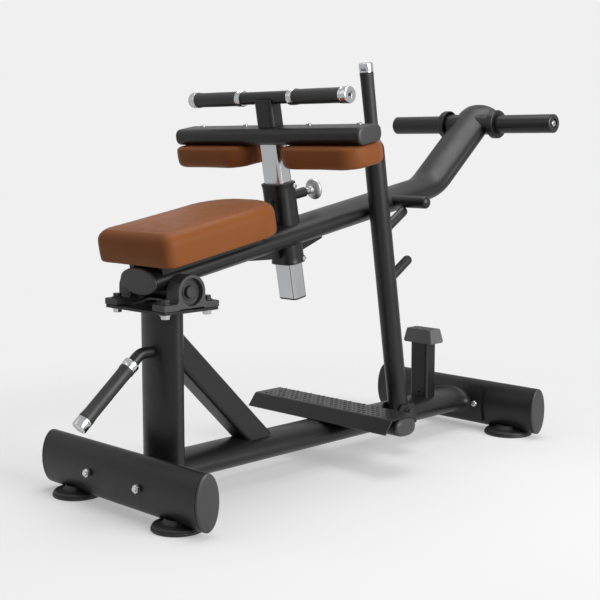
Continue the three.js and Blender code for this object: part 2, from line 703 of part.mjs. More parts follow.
function pillowBlock() {
  // The right-hand block; its outline is drawn about the bearing centre in the YZ plane.
  const half = BLOCK_LENGTH / 2;
  const base = -BEARING_HEIGHT;
  const shoulder = base + BLOCK_FOOT_HEIGHT;
  const arch = Array.from({ length: 15 }, (_, i) => {
    const angle = THREE.MathUtils.degToRad(-18 + (216 * i) / 14);
    return new THREE.Vector2(BLOCK_ARCH_RADIUS * Math.cos(angle), BLOCK_ARCH_RADIUS * Math.sin(angle));
  });
  const relief = BLOCK_RELIEF_LENGTH / 2;
  const front = [
    [relief - BLOCK_RELIEF_SLOPE, base + BLOCK_RELIEF_HEIGHT], [relief, base],
    [half - BLOCK_CHAMFER, base], [half, base + BLOCK_CHAMFER],
    [half, shoulder - BLOCK_CHAMFER], [half - BLOCK_CHAMFER, shoulder],
    [BLOCK_ARCH_FOOT_LENGTH / 2, shoulder],
  ].map(([along, up]) => new THREE.Vector2(along, up));
  const rear = front.map((p) => new THREE.Vector2(-p.x, p.y)).reverse();
  const outline = [...front, ...arch, ...rear];
  const body = prismX(outline, blockInnerX, PLATE_WIDTH / 2);
  const bore = turnedX(rod(BEARING_OUTER_RADIUS + SEAM, 0, PLATE_WIDTH), OVAL_SIDES);
  const x = PLATE_WIDTH / 2 - BLOCK_WIDTH / 2;
  const hole = turnedZ(rod(BLOCK_BOLT_RADIUS + SEAM, base - 1, shoulder + 4), SMALL_SIDES);
  const holes = [-1, 1].map((side) => moved(hole, x, (side * BLOCK_BOLT_SPACING) / 2, 0));
  return cut(body, bore, ...holes).translate(0, UPRIGHT_Y, pivotZ);
}

function bearing() {
  // A self-contained insert whose inner ring stands proud on both sides.
  const middle = PLATE_WIDTH / 2 - BLOCK_WIDTH / 2;
  const [from, to] = [middle - BEARING_WIDTH / 2, middle + BEARING_WIDTH / 2];
  const [ringFrom, ringTo] = [from - BEARING_RING_REACH, to + BEARING_RING_REACH];
  const bore = SHAFT_RADIUS + SLIDE_GAP;
  return turnedX([
    [bore, ringFrom], [BEARING_INNER_RADIUS, ringFrom], [BEARING_INNER_RADIUS, from],
    [BEARING_OUTER_RADIUS, from], [BEARING_OUTER_RADIUS, to], [BEARING_INNER_RADIUS, to],
    [BEARING_INNER_RADIUS, ringTo], [bore, ringTo], [bore, ringFrom],
  ], OVAL_SIDES);
}

function blockBolt(side) {
  // The right-hand bolt at the front or rear end of a pillow block.
  const grip = plateTopZ - PLATE_BOTTOM_Z + SEAM + BLOCK_FOOT_HEIGHT;
  const x = PLATE_WIDTH / 2 - BLOCK_WIDTH / 2;
  const y = UPRIGHT_Y + (side * BLOCK_BOLT_SPACING) / 2;
  return boltStack(BLOCK_BOLT_RADIUS, grip).translate(x, y, PLATE_BOTTOM_Z);
}

function grabBarPath(length) {
  const straight = UPRIGHT_Y - GRAB_BEND_Y - GRAB_BEND_RADIUS * Math.tan(GRAB_DROP_ANGLE / 2);
  const drop = length - GRAB_BEND_RADIUS * Math.tan(GRAB_DROP_ANGLE / 2);
  return bentPath({ y: UPRIGHT_Y, z: GRAB_HEIGHT, angle: Math.PI }, [
    { length: straight },
    { turn: GRAB_DROP_ANGLE, radius: GRAB_BEND_RADIUS, steps: 4 },
    { length: drop },
  ]);
}

function grabBar() {
  const reach = GRAB_COLLAR_START + GRAB_COLLAR_LENGTH + GRAB_GRIP_LENGTH + 2 * SEAM;
  const path = grabBarPath(reach + GRAB_CAP_DEPTH);
  const circle = (radius) => oval(2 * radius, 2 * radius, 2, ROUND_SIDES);
  const skin = (radius) => path.map((station) => ringOnPath(circle(radius), station));
  const tube = cut(loft(skin(GRAB_RADIUS), skin(GRAB_RADIUS - TUBE_WALL)), uprightEnvelope());
  const collarEnd = GRAB_COLLAR_START + GRAB_COLLAR_LENGTH;
  const collarWall = pipe(GRAB_COLLAR_RADIUS, GRAB_RADIUS - WELD_OVERLAP, GRAB_COLLAR_START, collarEnd);
  const collar = onGrabBar(collarWall);
  return join(tube, collar);
}

function onGrabBar(profile) {
  // Turned parts on the sloping end, measured from the corner of the bend.
  const turned = turnedZ(profile, ROUND_SIDES).rotateX(Math.PI / 2 + GRAB_DROP_ANGLE);
  return tidy(turned.translate(0, GRAB_BEND_Y, GRAB_HEIGHT));
}

function footplateSheet() {
  // A bent sheet: level tread with a lip that slopes down towards the user.
  const top = FOOT_TUBE_CENTRE_Z + FOOT_TUBE_HEIGHT / 2 + FOOTPLATE_SHEET;
  const lip = Math.hypot(FOOTPLATE_LIP_RUN, FOOTPLATE_LIP_DROP);
  const angle = Math.atan2(FOOTPLATE_LIP_DROP, FOOTPLATE_LIP_RUN);
  const tangent = FOOTPLATE_BEND_RADIUS * Math.tan(angle / 2);
  const rear = { y: FOOTPLATE_FRONT_Y + FOOTPLATE_TREAD, z: top - FOOTPLATE_SHEET / 2, angle: Math.PI };
  const path = bentPath(rear, [
    { length: FOOTPLATE_TREAD - tangent },
    { turn: angle, radius: FOOTPLATE_BEND_RADIUS, steps: 5 },
    { length: lip - tangent },
  ]);
  const sheet = [[1, 1], [-1, 1], [-1, -1], [1, -1]].map(([sx, sy]) => (
    new THREE.Vector2((sx * FOOTPLATE_WIDTH) / 2, (sy * FOOTPLATE_SHEET) / 2)
  ));
  return loft(path.map((station) => ringOnPath(sheet, station)));
}

function footplate() {
  // The sheet welded along a capped cross tube that is notched over the rail.
  const half = FOOTPLATE_WIDTH / 2 - FOOT_TUBE_END_INSET;
  const bore = oval(FOOT_TUBE_DEPTH - 2 * TUBE_WALL, FOOT_TUBE_HEIGHT - 2 * TUBE_WALL, FOOT_TUBE_SQUARENESS);
  const inside = prismX(bore, -half + END_CAP_FLANGE, half - END_CAP_FLANGE);
  const outside = prismX(oval(FOOT_TUBE_DEPTH, FOOT_TUBE_HEIGHT, FOOT_TUBE_SQUARENESS), -half, half);
  const tube = cut(outside, inside).translate(0, FOOT_TUBE_CENTRE_Y, FOOT_TUBE_CENTRE_Z);
  return cut(join(tube, moved(footplateSheet(), 0, 0, -WELD_OVERLAP)), railEnvelope());
}

function bumperPost() {
  const outline = roundedBox(BUMPER_POST_WIDTH, BUMPER_POST_DEPTH, BUMPER_POST_CORNER);
  const inner = roundedBox(
    BUMPER_POST_WIDTH - 2 * TUBE_WALL,
    BUMPER_POST_DEPTH - 2 * TUBE_WALL,
    BUMPER_POST_CORNER - TUBE_WALL,
  );
  const tube = prismZ(outline, RAIL_CENTRE_Z, BUMPER_POST_TOP_Z, [inner]).translate(0, BUMPER_Y, 0);
  return cut(tube, railEnvelope());
}

function bumperBlock() {
  const [width, depth] = [BUMPER_BLOCK_WIDTH, BUMPER_BLOCK_DEPTH];
  const ring = (inset, z) => roundedBox(width - 2 * inset, depth - 2 * inset, BUMPER_BLOCK_CORNER)
    .map((p) => new THREE.Vector3(p.x, p.y + BUMPER_Y, BUMPER_POST_TOP_Z + SEAM + z));
  return loft([
    ring(BUMPER_SKIRT_INSET, 0), ring(0, BUMPER_SKIRT_HEIGHT),
    ring(BUMPER_BLOCK_TAPER * 0.8, BUMPER_BLOCK_HEIGHT - BUMPER_TOP_ROUND),
    ring(BUMPER_BLOCK_TAPER, BUMPER_BLOCK_HEIGHT),
  ]);
}

function catchBracket() {
  const inner = BAR_X - BAR_RADIUS - BRACKET_EAR_GAP;
  const outer = BAR_X + BAR_RADIUS + BRACKET_EAR_GAP;
  const baseZ = BAR_PIVOT_Z - BRACKET_BASE_DROP;
  const topZ = BAR_PIVOT_Z + BRACKET_EAR_RISE;
  const length = 2 * BRACKET_HALF_LENGTH;
  const ear = new THREE.BoxGeometry(BRACKET_EAR, length, topZ - baseZ)
    .translate(BRACKET_EAR / 2, BAR_PIVOT_Y, (topZ + baseZ) / 2);
  const width = outer - inner + 2 * BRACKET_EAR + BRACKET_BASE_OVERLAP;
  const base = new THREE.BoxGeometry(width, length, BRACKET_BASE_THICKNESS)
    .translate(outer + BRACKET_EAR - width / 2, BAR_PIVOT_Y, baseZ + BRACKET_BASE_THICKNESS / 2);
  const body = join(moved(ear, inner - BRACKET_EAR, 0, 0), moved(ear, outer, 0, 0), base);
  const hole = turnedX(rod(BAR_BOLT_RADIUS + SEAM, 0, BAR_X * 2), SMALL_SIDES);
  return cut(body, railEnvelope(), moved(hole, 0, BAR_PIVOT_Y, BAR_PIVOT_Z));
}

function catchPivotBolt() {
  const inner = BAR_X - BAR_RADIUS - BRACKET_EAR_GAP - BRACKET_EAR;
  const grip = 2 * (BAR_RADIUS + BRACKET_EAR_GAP + BRACKET_EAR);
  const bolt = boltStack(BAR_BOLT_RADIUS, grip).rotateY(Math.PI / 2);
  return bolt.translate(inner, BAR_PIVOT_Y, BAR_PIVOT_Z);
}

// Lever parts, in the lever's frame

function leverPath() {
  return bentPath({ y: -LEVER_REAR_OVERHANG, z: leverCentreUp, angle: 0 }, [
    { length: LEVER_STRAIGHT },
    { turn: LEVER_RISE_ANGLE, radius: LEVER_RISE_RADIUS, steps: 5 },
    { length: LEVER_RISE_LENGTH },
    { turn: -LEVER_NOSE_ANGLE, radius: LEVER_NOSE_RADIUS, steps: NOSE_STEPS },
    { length: LEVER_NOSE_LENGTH },
  ]);
}

function leverEnvelope(grow) {
  const outline = oval(LEVER_WIDTH + 2 * grow, LEVER_HEIGHT + 2 * grow);
  return loft(leverPath().map((station) => ringOnPath(outline, station)));
}

function hornCentre() {
  // Measured back along the rise from the start of the nose bend.
  const path = leverPath();
  const bendStart = path[path.length - NOSE_STEPS - 2];
  return stationAfter(bendStart, -HORN_BACK_FROM_NOSE);
}

function leverArm() {
  // The bent oval tube, closed at both ends, with the pivot sleeve welded across its underside.
  const path = leverPath();
  const last = path.length - 1;
  const hollow = oval(LEVER_WIDTH - 2 * LEVER_WALL, LEVER_HEIGHT - 2 * LEVER_WALL);
  const shorter = [
    stationAfter(path[0], LEVER_WALL),
    ...path.slice(1, last),
    stationAfter(path[last], -LEVER_WALL),
  ];
  const sleeveHalf = blockInnerX - PIVOT_SLEEVE_INSET;
  const horn = hornCentre();
  const hub = turnedX(rod(HORN_LINER_RADIUS + SEAM, -LEVER_WIDTH, LEVER_WIDTH), ROUND_SIDES);
  const tube = cut(leverEnvelope(0), loft(shorter.map((station) => ringOnPath(hollow, station))));
  const sleeve = turnedX(rod(PIVOT_SLEEVE_RADIUS, -sleeveHalf, sleeveHalf), OVAL_SIDES);
  const bore = turnedX(rod(SHAFT_RADIUS + SEAM, -LEVER_WIDTH, LEVER_WIDTH), ROUND_SIDES);
  return cut(join(tube, sleeve), bore, postSleeveBlock(SEAM), hub.translate(0, horn.y, horn.z));
}

function seatBracket() {
  // Two rails shaped to the lever's flanks, joined by straps across its top.
  const top = LEVER_HEIGHT + SEAT_LIFT - SEAM;
  const middle = SEAT_REAR_ALONG + SEAT_LENGTH / 2;
  const box = (x, y, width, length, height) => (
    new THREE.BoxGeometry(width, length, height).translate(x, y, top - height / 2)
  );
  const rails = [-1, 1].map((side) => (
    box(side * SEAT_RAIL_OFFSET, middle, SEAT_RAIL_WIDTH, SEAT_RAIL_LENGTH, SEAT_RAIL_HEIGHT)
  ));
  const reach = (SEAT_RAIL_LENGTH - SEAT_STRAP_WIDTH) / 2;
  const straps = [-1, 1].map((end) => (
    box(0, middle + end * reach, 2 * SEAT_RAIL_OFFSET, SEAT_STRAP_WIDTH, SEAT_STRAP_THICKNESS)
  ));
  return cut(join(...rails, ...straps), leverEnvelope(SEAM));
}

function seatPad() {
  const pad = cushion({
    width: SEAT_WIDTH,
    length: SEAT_LENGTH,
    thickness: SEAT_THICKNESS,
    crown: SEAT_CROWN,
    corners: [SEAT_FRONT_CORNER, SEAT_FRONT_CORNER, SEAT_REAR_CORNER, SEAT_REAR_CORNER],
    bottomEdge: SEAT_BOTTOM_EDGE_RADIUS,
    topEdge: SEAT_TOP_EDGE_RADIUS,
  });
  return pad.translate(0, SEAT_REAR_ALONG + SEAT_LENGTH / 2, LEVER_HEIGHT + SEAT_LIFT);
}

function postSleeveBlock(grow) {
  const outline = roundedBox(SLEEVE_WIDTH + 2 * grow, SLEEVE_DEPTH + 2 * grow, SLEEVE_CORNER + grow);
  return prismZ(outline, SLEEVE_BOTTOM, SLEEVE_TOP).translate(0, SLEEVE_ALONG, 0);
}

function gusset(direction, edge) {
  // A plate under the lever, welded to the sleeve's front or rear face; its edge runs back to the sleeve.
  const face = SLEEVE_DEPTH / 2 - WELD_OVERLAP;
  const points = [[0, 0], ...edge, [0, -GUSSET_DROP]];
  const outline = points.map(([along, up]) => (
    new THREE.Vector2(SLEEVE_ALONG + direction * (face + along), up)
  ));
  return cut(prismX(outline, -GUSSET_THICKNESS / 2, GUSSET_THICKNESS / 2), leverEnvelope(SEAM));
}

function postSleeve() {
  // The sleeve with its gussets and the pop-pin's barrel welded on.
  const bore = roundedBox(POST_WIDTH + 2 * SLIDE_GAP, POST_DEPTH + 2 * SLIDE_GAP, POST_CORNER + SLIDE_GAP);
  const pinHole = turnedY(rod(POP_PIN_RADIUS + SLIDE_GAP, 0, POP_PIN_BARREL_END + 1), SMALL_SIDES);
  const barrelStart = SLEEVE_DEPTH / 2 - WELD_OVERLAP;
  const barrel = turnedY(rod(POP_PIN_BARREL_RADIUS, barrelStart, POP_PIN_BARREL_END), ROUND_SIDES);
  const body = join(
    postSleeveBlock(0),
    gusset(-1, [[GUSSET_REAR_LENGTH, 0], [GUSSET_REAR_HEEL_LENGTH, -GUSSET_REAR_HEEL_DROP]]),
    gusset(1, [[GUSSET_FRONT_LENGTH, 0], [GUSSET_FRONT_LENGTH, -GUSSET_FRONT_TIP_DROP]]),
    moved(barrel, 0, SLEEVE_ALONG, POP_PIN_UP),
  );
  return cut(
    body,
    prismZ(bore, SLEEVE_BOTTOM - 1, SLEEVE_TOP + 1).translate(0, SLEEVE_ALONG, 0),
    moved(pinHole, 0, SLEEVE_ALONG, POP_PIN_UP),
  );
}

function popPin() {
  // The pin with its neck and its flattened round knob.
  const tip = POST_DEPTH / 2 + 2 * SEAM;
  const neck = POP_PIN_BARREL_END + SEAM;
  const centre = neck + POP_PIN_KNOB_REACH;
  const steps = 9;
  const start = -Math.acos(POP_PIN_NECK_RADIUS / POP_PIN_KNOB_RADIUS);
  const knob = Array.from({ length: steps }, (_, i) => {
    const angle = start + ((Math.PI / 2 - start) * i) / steps;
    return [POP_PIN_KNOB_RADIUS * Math.cos(angle), centre + POP_PIN_KNOB_HALF_LENGTH * Math.sin(angle)];
  });
  const profile = [
    [0, tip], [POP_PIN_RADIUS - POP_PIN_CHAMFER, tip], [POP_PIN_RADIUS, tip + POP_PIN_CHAMFER],
    [POP_PIN_RADIUS, neck], [POP_PIN_NECK_RADIUS, neck], ...knob, [0, centre + POP_PIN_KNOB_HALF_LENGTH],
  ];
  return turnedY(profile, ROUND_SIDES).translate(0, SLEEVE_ALONG, POP_PIN_UP);
}

function hornTube() {
  const half = HORN_HALF_SPAN - HORN_CAP_FLANGE;
  const horn = hornCentre();
  const tube = turnedX(pipe(HORN_RADIUS, HORN_RADIUS - HORN_WALL, -half, half), ROUND_SIDES);
  return tube.translate(0, horn.y, horn.z);
}

function hornHub() {
  // A liner through the lever that carries a cup-shaped stop collar, open to the lever, on each side.
  const horn = hornCentre();
  const bore = HORN_RADIUS + SEAM;
  const start = LEVER_WIDTH / 2 + HORN_COLLAR_GAP;
  const end = start + HORN_COLLAR_LENGTH;
  const floor = end - HORN_COLLAR_WALL;
  const side = [
    [HORN_LINER_RADIUS, floor], [HORN_COLLAR_RADIUS - HORN_COLLAR_WALL, floor],
    [HORN_COLLAR_RADIUS - HORN_COLLAR_WALL, start], [HORN_COLLAR_RADIUS, start],
    [HORN_COLLAR_RADIUS, end], [bore, end],
  ];
  const otherSide = side.map(([radius, x]) => [radius, -x]).reverse();
  return turnedX([...otherSide, ...side, otherSide[0]], ROUND_SIDES).translate(0, horn.y, horn.z);
}

function hornEndCap() {
  const horn = hornCentre();
  const start = HORN_HALF_SPAN - HORN_CAP_FLANGE + SEAM;
  const plug = HORN_RADIUS - HORN_WALL - SEAM;
  const cap = turnedX([
    [0, start - END_CAP_PLUG], [plug, start - END_CAP_PLUG], [plug, start], [HORN_RADIUS, start],
    [HORN_RADIUS, HORN_HALF_SPAN - HORN_CAP_ROUND], [HORN_RADIUS - HORN_CAP_ROUND, HORN_HALF_SPAN],
    [HORN_CAP_DISH_RADIUS, HORN_HALF_SPAN], [HORN_CAP_DISH_RADIUS - 2, HORN_HALF_SPAN - HORN_CAP_DISH_DEPTH],
    [0, HORN_HALF_SPAN - HORN_CAP_DISH_DEPTH],
  ], ROUND_SIDES);
  return cap.translate(0, horn.y, horn.z);
}

function stopPin() {
  const pin = turnedX(domed(STOP_PIN_RADIUS, LEVER_WIDTH / 4, STOP_PIN_REACH, STOP_PIN_DOME), ROUND_SIDES);
  return cut(pin.translate(0, STOP_PIN_ALONG, STOP_PIN_UP), leverEnvelope(SEAM));
}

// Sliding post parts, in the lever's frame

function chromePost() {
  const top = crossbarBottom - SEAM;
  const bottom = POST_BOTTOM + END_CAP_FLANGE;
  const outline = roundedBox(POST_WIDTH, POST_DEPTH, POST_CORNER);
  const inner = roundedBox(POST_WIDTH - 2 * POST_WALL, POST_DEPTH - 2 * POST_WALL, POST_CORNER - POST_WALL);
  const tube = prismZ(outline, bottom, top, [inner]).translate(0, SLEEVE_ALONG, 0);
  const hole = turnedY(rod(POP_PIN_RADIUS + SLIDE_GAP, 0, POST_DEPTH), POST_HOLE_SIDES);
  const holes = [];
  for (let i = -POST_HOLES_BELOW; i <= POST_HOLES_ABOVE; i += 1) {
    holes.push(moved(hole, 0, SLEEVE_ALONG, POP_PIN_UP + i * POST_HOLE_PITCH));
  }
  return cut(tube, ...holes);
}

function postEndCap() {
  const bottom = POST_BOTTOM + END_CAP_FLANGE;
  const gap = 2 * (POST_WALL + SEAM);
  const plug = roundedBox(POST_WIDTH - gap, POST_DEPTH - gap, POST_CORNER - POST_WALL);
  const flange = roundedBox(POST_WIDTH, POST_DEPTH, POST_CORNER);
  return join(
    prismZ(plug, bottom - SEAM - WELD_OVERLAP, bottom + END_CAP_PLUG),
    prismZ(flange, POST_BOTTOM, bottom - SEAM),
  ).translate(0, SLEEVE_ALONG, 0);
}

function crossbar() {
  const half = CROSSBAR_HALF_SPAN - END_CAP_FLANGE - END_CAP_DOME;
  const inside = [CROSSBAR_DEPTH - 2 * TUBE_WALL, CROSSBAR_HEIGHT - 2 * TUBE_WALL];
  const hollow = [oval(...inside, CROSSBAR_SQUARENESS)];
  const outline = oval(CROSSBAR_DEPTH, CROSSBAR_HEIGHT, CROSSBAR_SQUARENESS);
  const tube = prismX(outline, -half, half, hollow);
  return tube.translate(0, SLEEVE_ALONG, CROSSBAR_CENTRE_UP);
}

function crossbarEndCap() {
  const start = CROSSBAR_HALF_SPAN - END_CAP_FLANGE - END_CAP_DOME;
  const cap = ovalEndCap(CROSSBAR_HEIGHT, CROSSBAR_DEPTH, CROSSBAR_SQUARENESS).rotateY(Math.PI / 2);
  return cap.translate(start, SLEEVE_ALONG, CROSSBAR_CENTRE_UP);
}

function thighPad() {
  // The right pad, sewn side down, with its flat base against the crossbar.
  const pad = cushion({
    width: padWidth,
    length: PAD_DEPTH,
    thickness: PAD_THICKNESS - PAD_CROWN,
    crown: PAD_CROWN,
    corners: PAD_CORNER,
    bottomEdge: PAD_BASE_EDGE_RADIUS,
    topEdge: PAD_FACE_EDGE_RADIUS,
  });
  const middle = CROSSBAR_HALF_SPAN - PAD_END_INSET - padWidth / 2;
  return pad.rotateY(Math.PI).translate(middle, SLEEVE_ALONG, crossbarBottom - SEAM);
}

function onHandlebar(geometry) {
  return geometry.translate(0, SLEEVE_ALONG, HANDLEBAR_CENTRE_UP);
}

function handlebar() {
  // The bar, its stem down to the crossbar and the rings that stop the grips.
  const half = HANDLEBAR_HALF_SPAN - HANDLEBAR_CAP_LENGTH / 2;
  const ringEnd = HANDLEBAR_HALF_SPAN - HANDLEBAR_CAP_LENGTH - GRIP_LENGTH - 2 * SEAM;
  const ring = turnedX(rod(GRIP_RING_RADIUS, ringEnd - GRIP_RING_LENGTH, ringEnd), ROUND_SIDES);
  const drop = crossbarTop + SEAM - HANDLEBAR_CENTRE_UP;
  const stem = prismZ(roundedBox(STEM_WIDTH, STEM_DEPTH, STEM_CORNER), drop, 0);
  const bar = turnedX(rod(HANDLEBAR_RADIUS, -half, half), ROUND_SIDES);
  const bore = turnedX(rod(HANDLEBAR_RADIUS - TUBE_WALL, -half - 1, half + 1), ROUND_SIDES);
  return onHandlebar(cut(join(bar, stem, ring, mirroredX(ring)), bore));
}

function handGrip() {
  const end = HANDLEBAR_HALF_SPAN - HANDLEBAR_CAP_LENGTH - SEAM;
  const bore = HANDLEBAR_RADIUS + SEAM;
  return onHandlebar(turnedX(pipe(bore + GRIP_THICKNESS, bore, end - GRIP_LENGTH, end), ROUND_SIDES));
}

function handlebarEndCap() {
  const start = HANDLEBAR_HALF_SPAN - HANDLEBAR_CAP_LENGTH;
  const seat = HANDLEBAR_HALF_SPAN - HANDLEBAR_CAP_LENGTH / 2 + SEAM;
  const bore = HANDLEBAR_RADIUS + SEAM;
  const end = HANDLEBAR_HALF_SPAN;
  const dish = end - HANDLEBAR_CAP_DISH_DEPTH;
  return onHandlebar(turnedX([
    [bore, start], [HANDLEBAR_CAP_RADIUS, start], [HANDLEBAR_CAP_RADIUS, end - HANDLEBAR_CAP_ROUND],
    [HANDLEBAR_CAP_RADIUS - HANDLEBAR_CAP_ROUND, end], [HANDLEBAR_CAP_DISH_RADIUS, end],
    [HANDLEBAR_CAP_DISH_RADIUS, dish], [0, dish], [0, seat], [bore, seat], [bore, start],
  ], ROUND_SIDES));
}

// Safety bar parts, in the bar's frame: up along it from its pivot

function safetyBarFrame() {
  return new THREE.Matrix4().makeTranslation(BAR_X, BAR_PIVOT_Y, BAR_PIVOT_Z)
    .multiply(new THREE.Matrix4().makeRotationX(BAR_LEAN));
}

function upperPegTip() {
  // The peg's domed tip touches the stop pin from below and behind.
  const lever = new THREE.Matrix4().makeTranslation(0, UPRIGHT_Y, pivotZ)
    .multiply(new THREE.Matrix4().makeRotationX(LEVER_INCLINE));
  const tip = new THREE.Vector3(0, STOP_PIN_ALONG, STOP_PIN_UP).applyMatrix4(lever);
  const reach = STOP_PIN_RADIUS + PEG_RADIUS + SEAM;
  tip.y -= reach * Math.cos(PEG_CONTACT_ANGLE);
  tip.z -= reach * Math.sin(PEG_CONTACT_ANGLE);
  return tip.applyMatrix4(safetyBarFrame().invert());
}

function safetyBar() {
  const bore = BAR_RADIUS - BAR_WALL;
  const top = barTop - BAR_CAP_LENGTH / 2;
  const hollowTop = BAR_SHOULDER - BAR_PLUG_LENGTH;
  const tube = turnedZ([
    [0, hollowTop + BAR_PLUG_LENGTH / 2], [bore, hollowTop], [bore, -BAR_FOOT], [BAR_RADIUS, -BAR_FOOT],
    [BAR_RADIUS, BAR_SHOULDER], [BAR_NECK_RADIUS, BAR_SHOULDER + BAR_SHOULDER_LENGTH],
    [BAR_NECK_RADIUS, top], [0, top],
  ], ROUND_SIDES);
  const tip = upperPegTip();
  const root = (BAR_RADIUS - BAR_WALL / 2) / Math.cos(PEG_RISE);
  const reach = tip.y / Math.cos(PEG_RISE) - root;
  const peg = turnedY(domed(PEG_RADIUS, 0, reach + PEG_RADIUS, PEG_RADIUS), ROUND_SIDES)
    .rotateX(PEG_RISE)
    .translate(0, root * Math.cos(PEG_RISE), tip.z - reach * Math.sin(PEG_RISE));
  const core = turnedZ(rod(bore, -BAR_FOOT, hollowTop), ROUND_SIDES);
  const pegs = cut(join(peg, moved(peg, 0, 0, -PEG_SPACING)), core);
  const hole = turnedX(rod(BAR_BOLT_RADIUS + SLIDE_GAP, -2 * BAR_RADIUS, 2 * BAR_RADIUS), SMALL_SIDES);
  return cut(join(tube, pegs), hole);
}

function safetyBarGrip() {
  const bore = BAR_NECK_RADIUS + SEAM;
  const end = barGripStart + BAR_GRIP_LENGTH;
  return turnedZ(pipe(bore + BAR_GRIP_THICKNESS, bore, barGripStart, end), ROUND_SIDES);
}

function safetyBarCap() {
  const bore = BAR_NECK_RADIUS + SEAM;
  const outer = bore + BAR_GRIP_THICKNESS;
  const seat = barTop - BAR_CAP_LENGTH / 2 + SEAM;
  return turnedZ([
    [bore, barCapStart], [outer, barCapStart], [outer, barTop - BAR_CAP_ROUND],
    [outer - BAR_CAP_ROUND / 2, barTop - BAR_CAP_ROUND / 4], [outer - BAR_CAP_ROUND, barTop],
    [0, barTop], [0, seat], [bore, seat], [bore, barCapStart],
  ], ROUND_SIDES);
}

// Assembly

function addPart(group, name, geometry, finish) {
  const mesh = new THREE.Mesh(tidy(geometry), new THREE.MeshStandardMaterial(FINISHES[finish]));
  mesh.name = name;
  group.add(mesh);
  return mesh;
}

function addPair(group, name, geometry, finish) {
  addPart(group, `right_${name}`, geometry, finish);
  addPart(group, `left_${name}`, mirroredX(geometry), finish);
}

function addBase(machine, place, y, turn, footRadius) {
  // Turning the front base round swaps its sides.
  const base = new THREE.Group();
  base.position.set(0, y, 0);
  base.rotation.z = turn;
  machine.add(base);
  const raised = new THREE.Group();
  raised.position.z = BASE_CENTRE_Z;
  base.add(raised);
  const [first, second] = turn ? ['left', 'right'] : ['right', 'left'];
  const addBoth = (group, name, geometry, finish) => {
    addPart(group, `${place}_${first}_${name}`, geometry, finish);
    addPart(group, `${place}_${second}_${name}`, mirroredX(geometry), finish);
  };
  addPart(raised, `${place}_base_tube`, baseTube(), 'blackCoat');
  addBoth(raised, 'base_end_cap', baseEndCap(), 'greyPlastic');
  addBoth(raised, 'base_bolt', baseBolt(), 'steel');
  addBoth(base, 'foot', foot(footRadius), 'rubber');
}

function addFrame(machine) {
  addBase(machine, 'rear', 0, 0, REAR_FOOT_RADIUS);
  addBase(machine, 'front', BASE_SPACING, Math.PI, FRONT_FOOT_RADIUS);
  addPart(machine, 'main_rail', mainRail(), 'blackCoat');
  addPart(machine, 'rear_upright', rearUpright(), 'blackCoat');
  addPart(machine, 'diagonal_brace', diagonalBrace(), 'blackCoat');
}

function addPivotMount(machine) {
  addPart(machine, 'pivot_plate', pivotPlate(), 'blackCoat');
  addPair(machine, 'pillow_block', pillowBlock(), 'castBlack');
  addPair(machine, 'bearing', bearing().translate(0, UPRIGHT_Y, pivotZ), 'steel');
  addPair(machine, 'rear_block_bolt', blockBolt(-1), 'steel');
  addPair(machine, 'front_block_bolt', blockBolt(1), 'steel');
}

function addGrabBar(machine) {
  const bore = GRAB_RADIUS + SEAM;
  const outer = bore + GRAB_GRIP_THICKNESS;
  const gripStart = GRAB_COLLAR_START + GRAB_COLLAR_LENGTH + SEAM;
  const capStart = gripStart + GRAB_GRIP_LENGTH + SEAM;
  const capEnd = capStart + GRAB_CAP_LENGTH;
  const seat = capStart + GRAB_CAP_DEPTH + 2 * SEAM;
  const cap = [
    [bore, capStart], [outer, capStart], [outer, capEnd - GRAB_CAP_ROUND], [outer - GRAB_CAP_ROUND, capEnd],
    [0, capEnd], [0, seat], [bore, seat], [bore, capStart],
  ];
  const grip = pipe(outer, bore, gripStart, gripStart + GRAB_GRIP_LENGTH);
  addPart(machine, 'grab_bar', grabBar(), 'blackCoat');
  addPart(machine, 'grab_bar_grip', onGrabBar(grip), 'rubber');
  addPart(machine, 'grab_bar_cap', onGrabBar(cap), 'chrome');
}

function addRailFittings(machine) {
  addPart(machine, 'footplate', footplate(), 'blackCoat');
  addPart(machine, 'bumper_post', bumperPost(), 'blackCoat');
  addPart(machine, 'bumper_block', bumperBlock(), 'rubber');
  addPart(machine, 'catch_bracket', catchBracket(), 'blackCoat');
  addPart(machine, 'catch_pivot_bolt', catchPivotBolt(), 'steel');
}

function addLever(machine) {
  const lever = new THREE.Group();
  lever.position.set(0, UPRIGHT_Y, pivotZ);
  lever.rotation.x = LEVER_INCLINE;
  machine.add(lever);
  const shaftHalf = PLATE_WIDTH / 2 - SHAFT_END_INSET;
  addPart(lever, 'lever_arm', leverArm(), 'blackCoat');
  addPart(lever, 'pivot_shaft', turnedX(rod(SHAFT_RADIUS, -shaftHalf, shaftHalf)), 'steel');
  addPart(lever, 'seat_bracket', seatBracket(), 'blackCoat');
  addPart(lever, 'seat_pad', seatPad(), 'leather');
  addPart(lever, 'post_sleeve', postSleeve(), 'blackCoat');
  addPart(lever, 'weight_horn_tube', hornTube(), 'blackCoat');
  addPart(lever, 'weight_horn_hub', hornHub(), 'blackCoat');
  addPair(lever, 'horn_end_cap', hornEndCap(), 'blackPlastic');
  addPart(lever, 'stop_pin', stopPin(), 'blackCoat');
  addPart(lever, 'pop_pin', popPin(), 'steel');
  return lever;
}

function addThighPadAssembly(lever) {
  addPart(lever, 'chrome_post', chromePost(), 'chrome');
  addPart(lever, 'post_end_cap', postEndCap(), 'blackPlastic');
  addPart(lever, 'crossbar', crossbar(), 'blackCoat');
  addPair(lever, 'crossbar_end_cap', crossbarEndCap(), 'greyPlastic');
  addPair(lever, 'thigh_pad', thighPad(), 'leather');
  addPart(lever, 'handlebar', handlebar(), 'blackCoat');
  addPair(lever, 'hand_grip', handGrip(), 'rubber');
  addPair(lever, 'handlebar_end_cap', handlebarEndCap(), 'chrome');
}

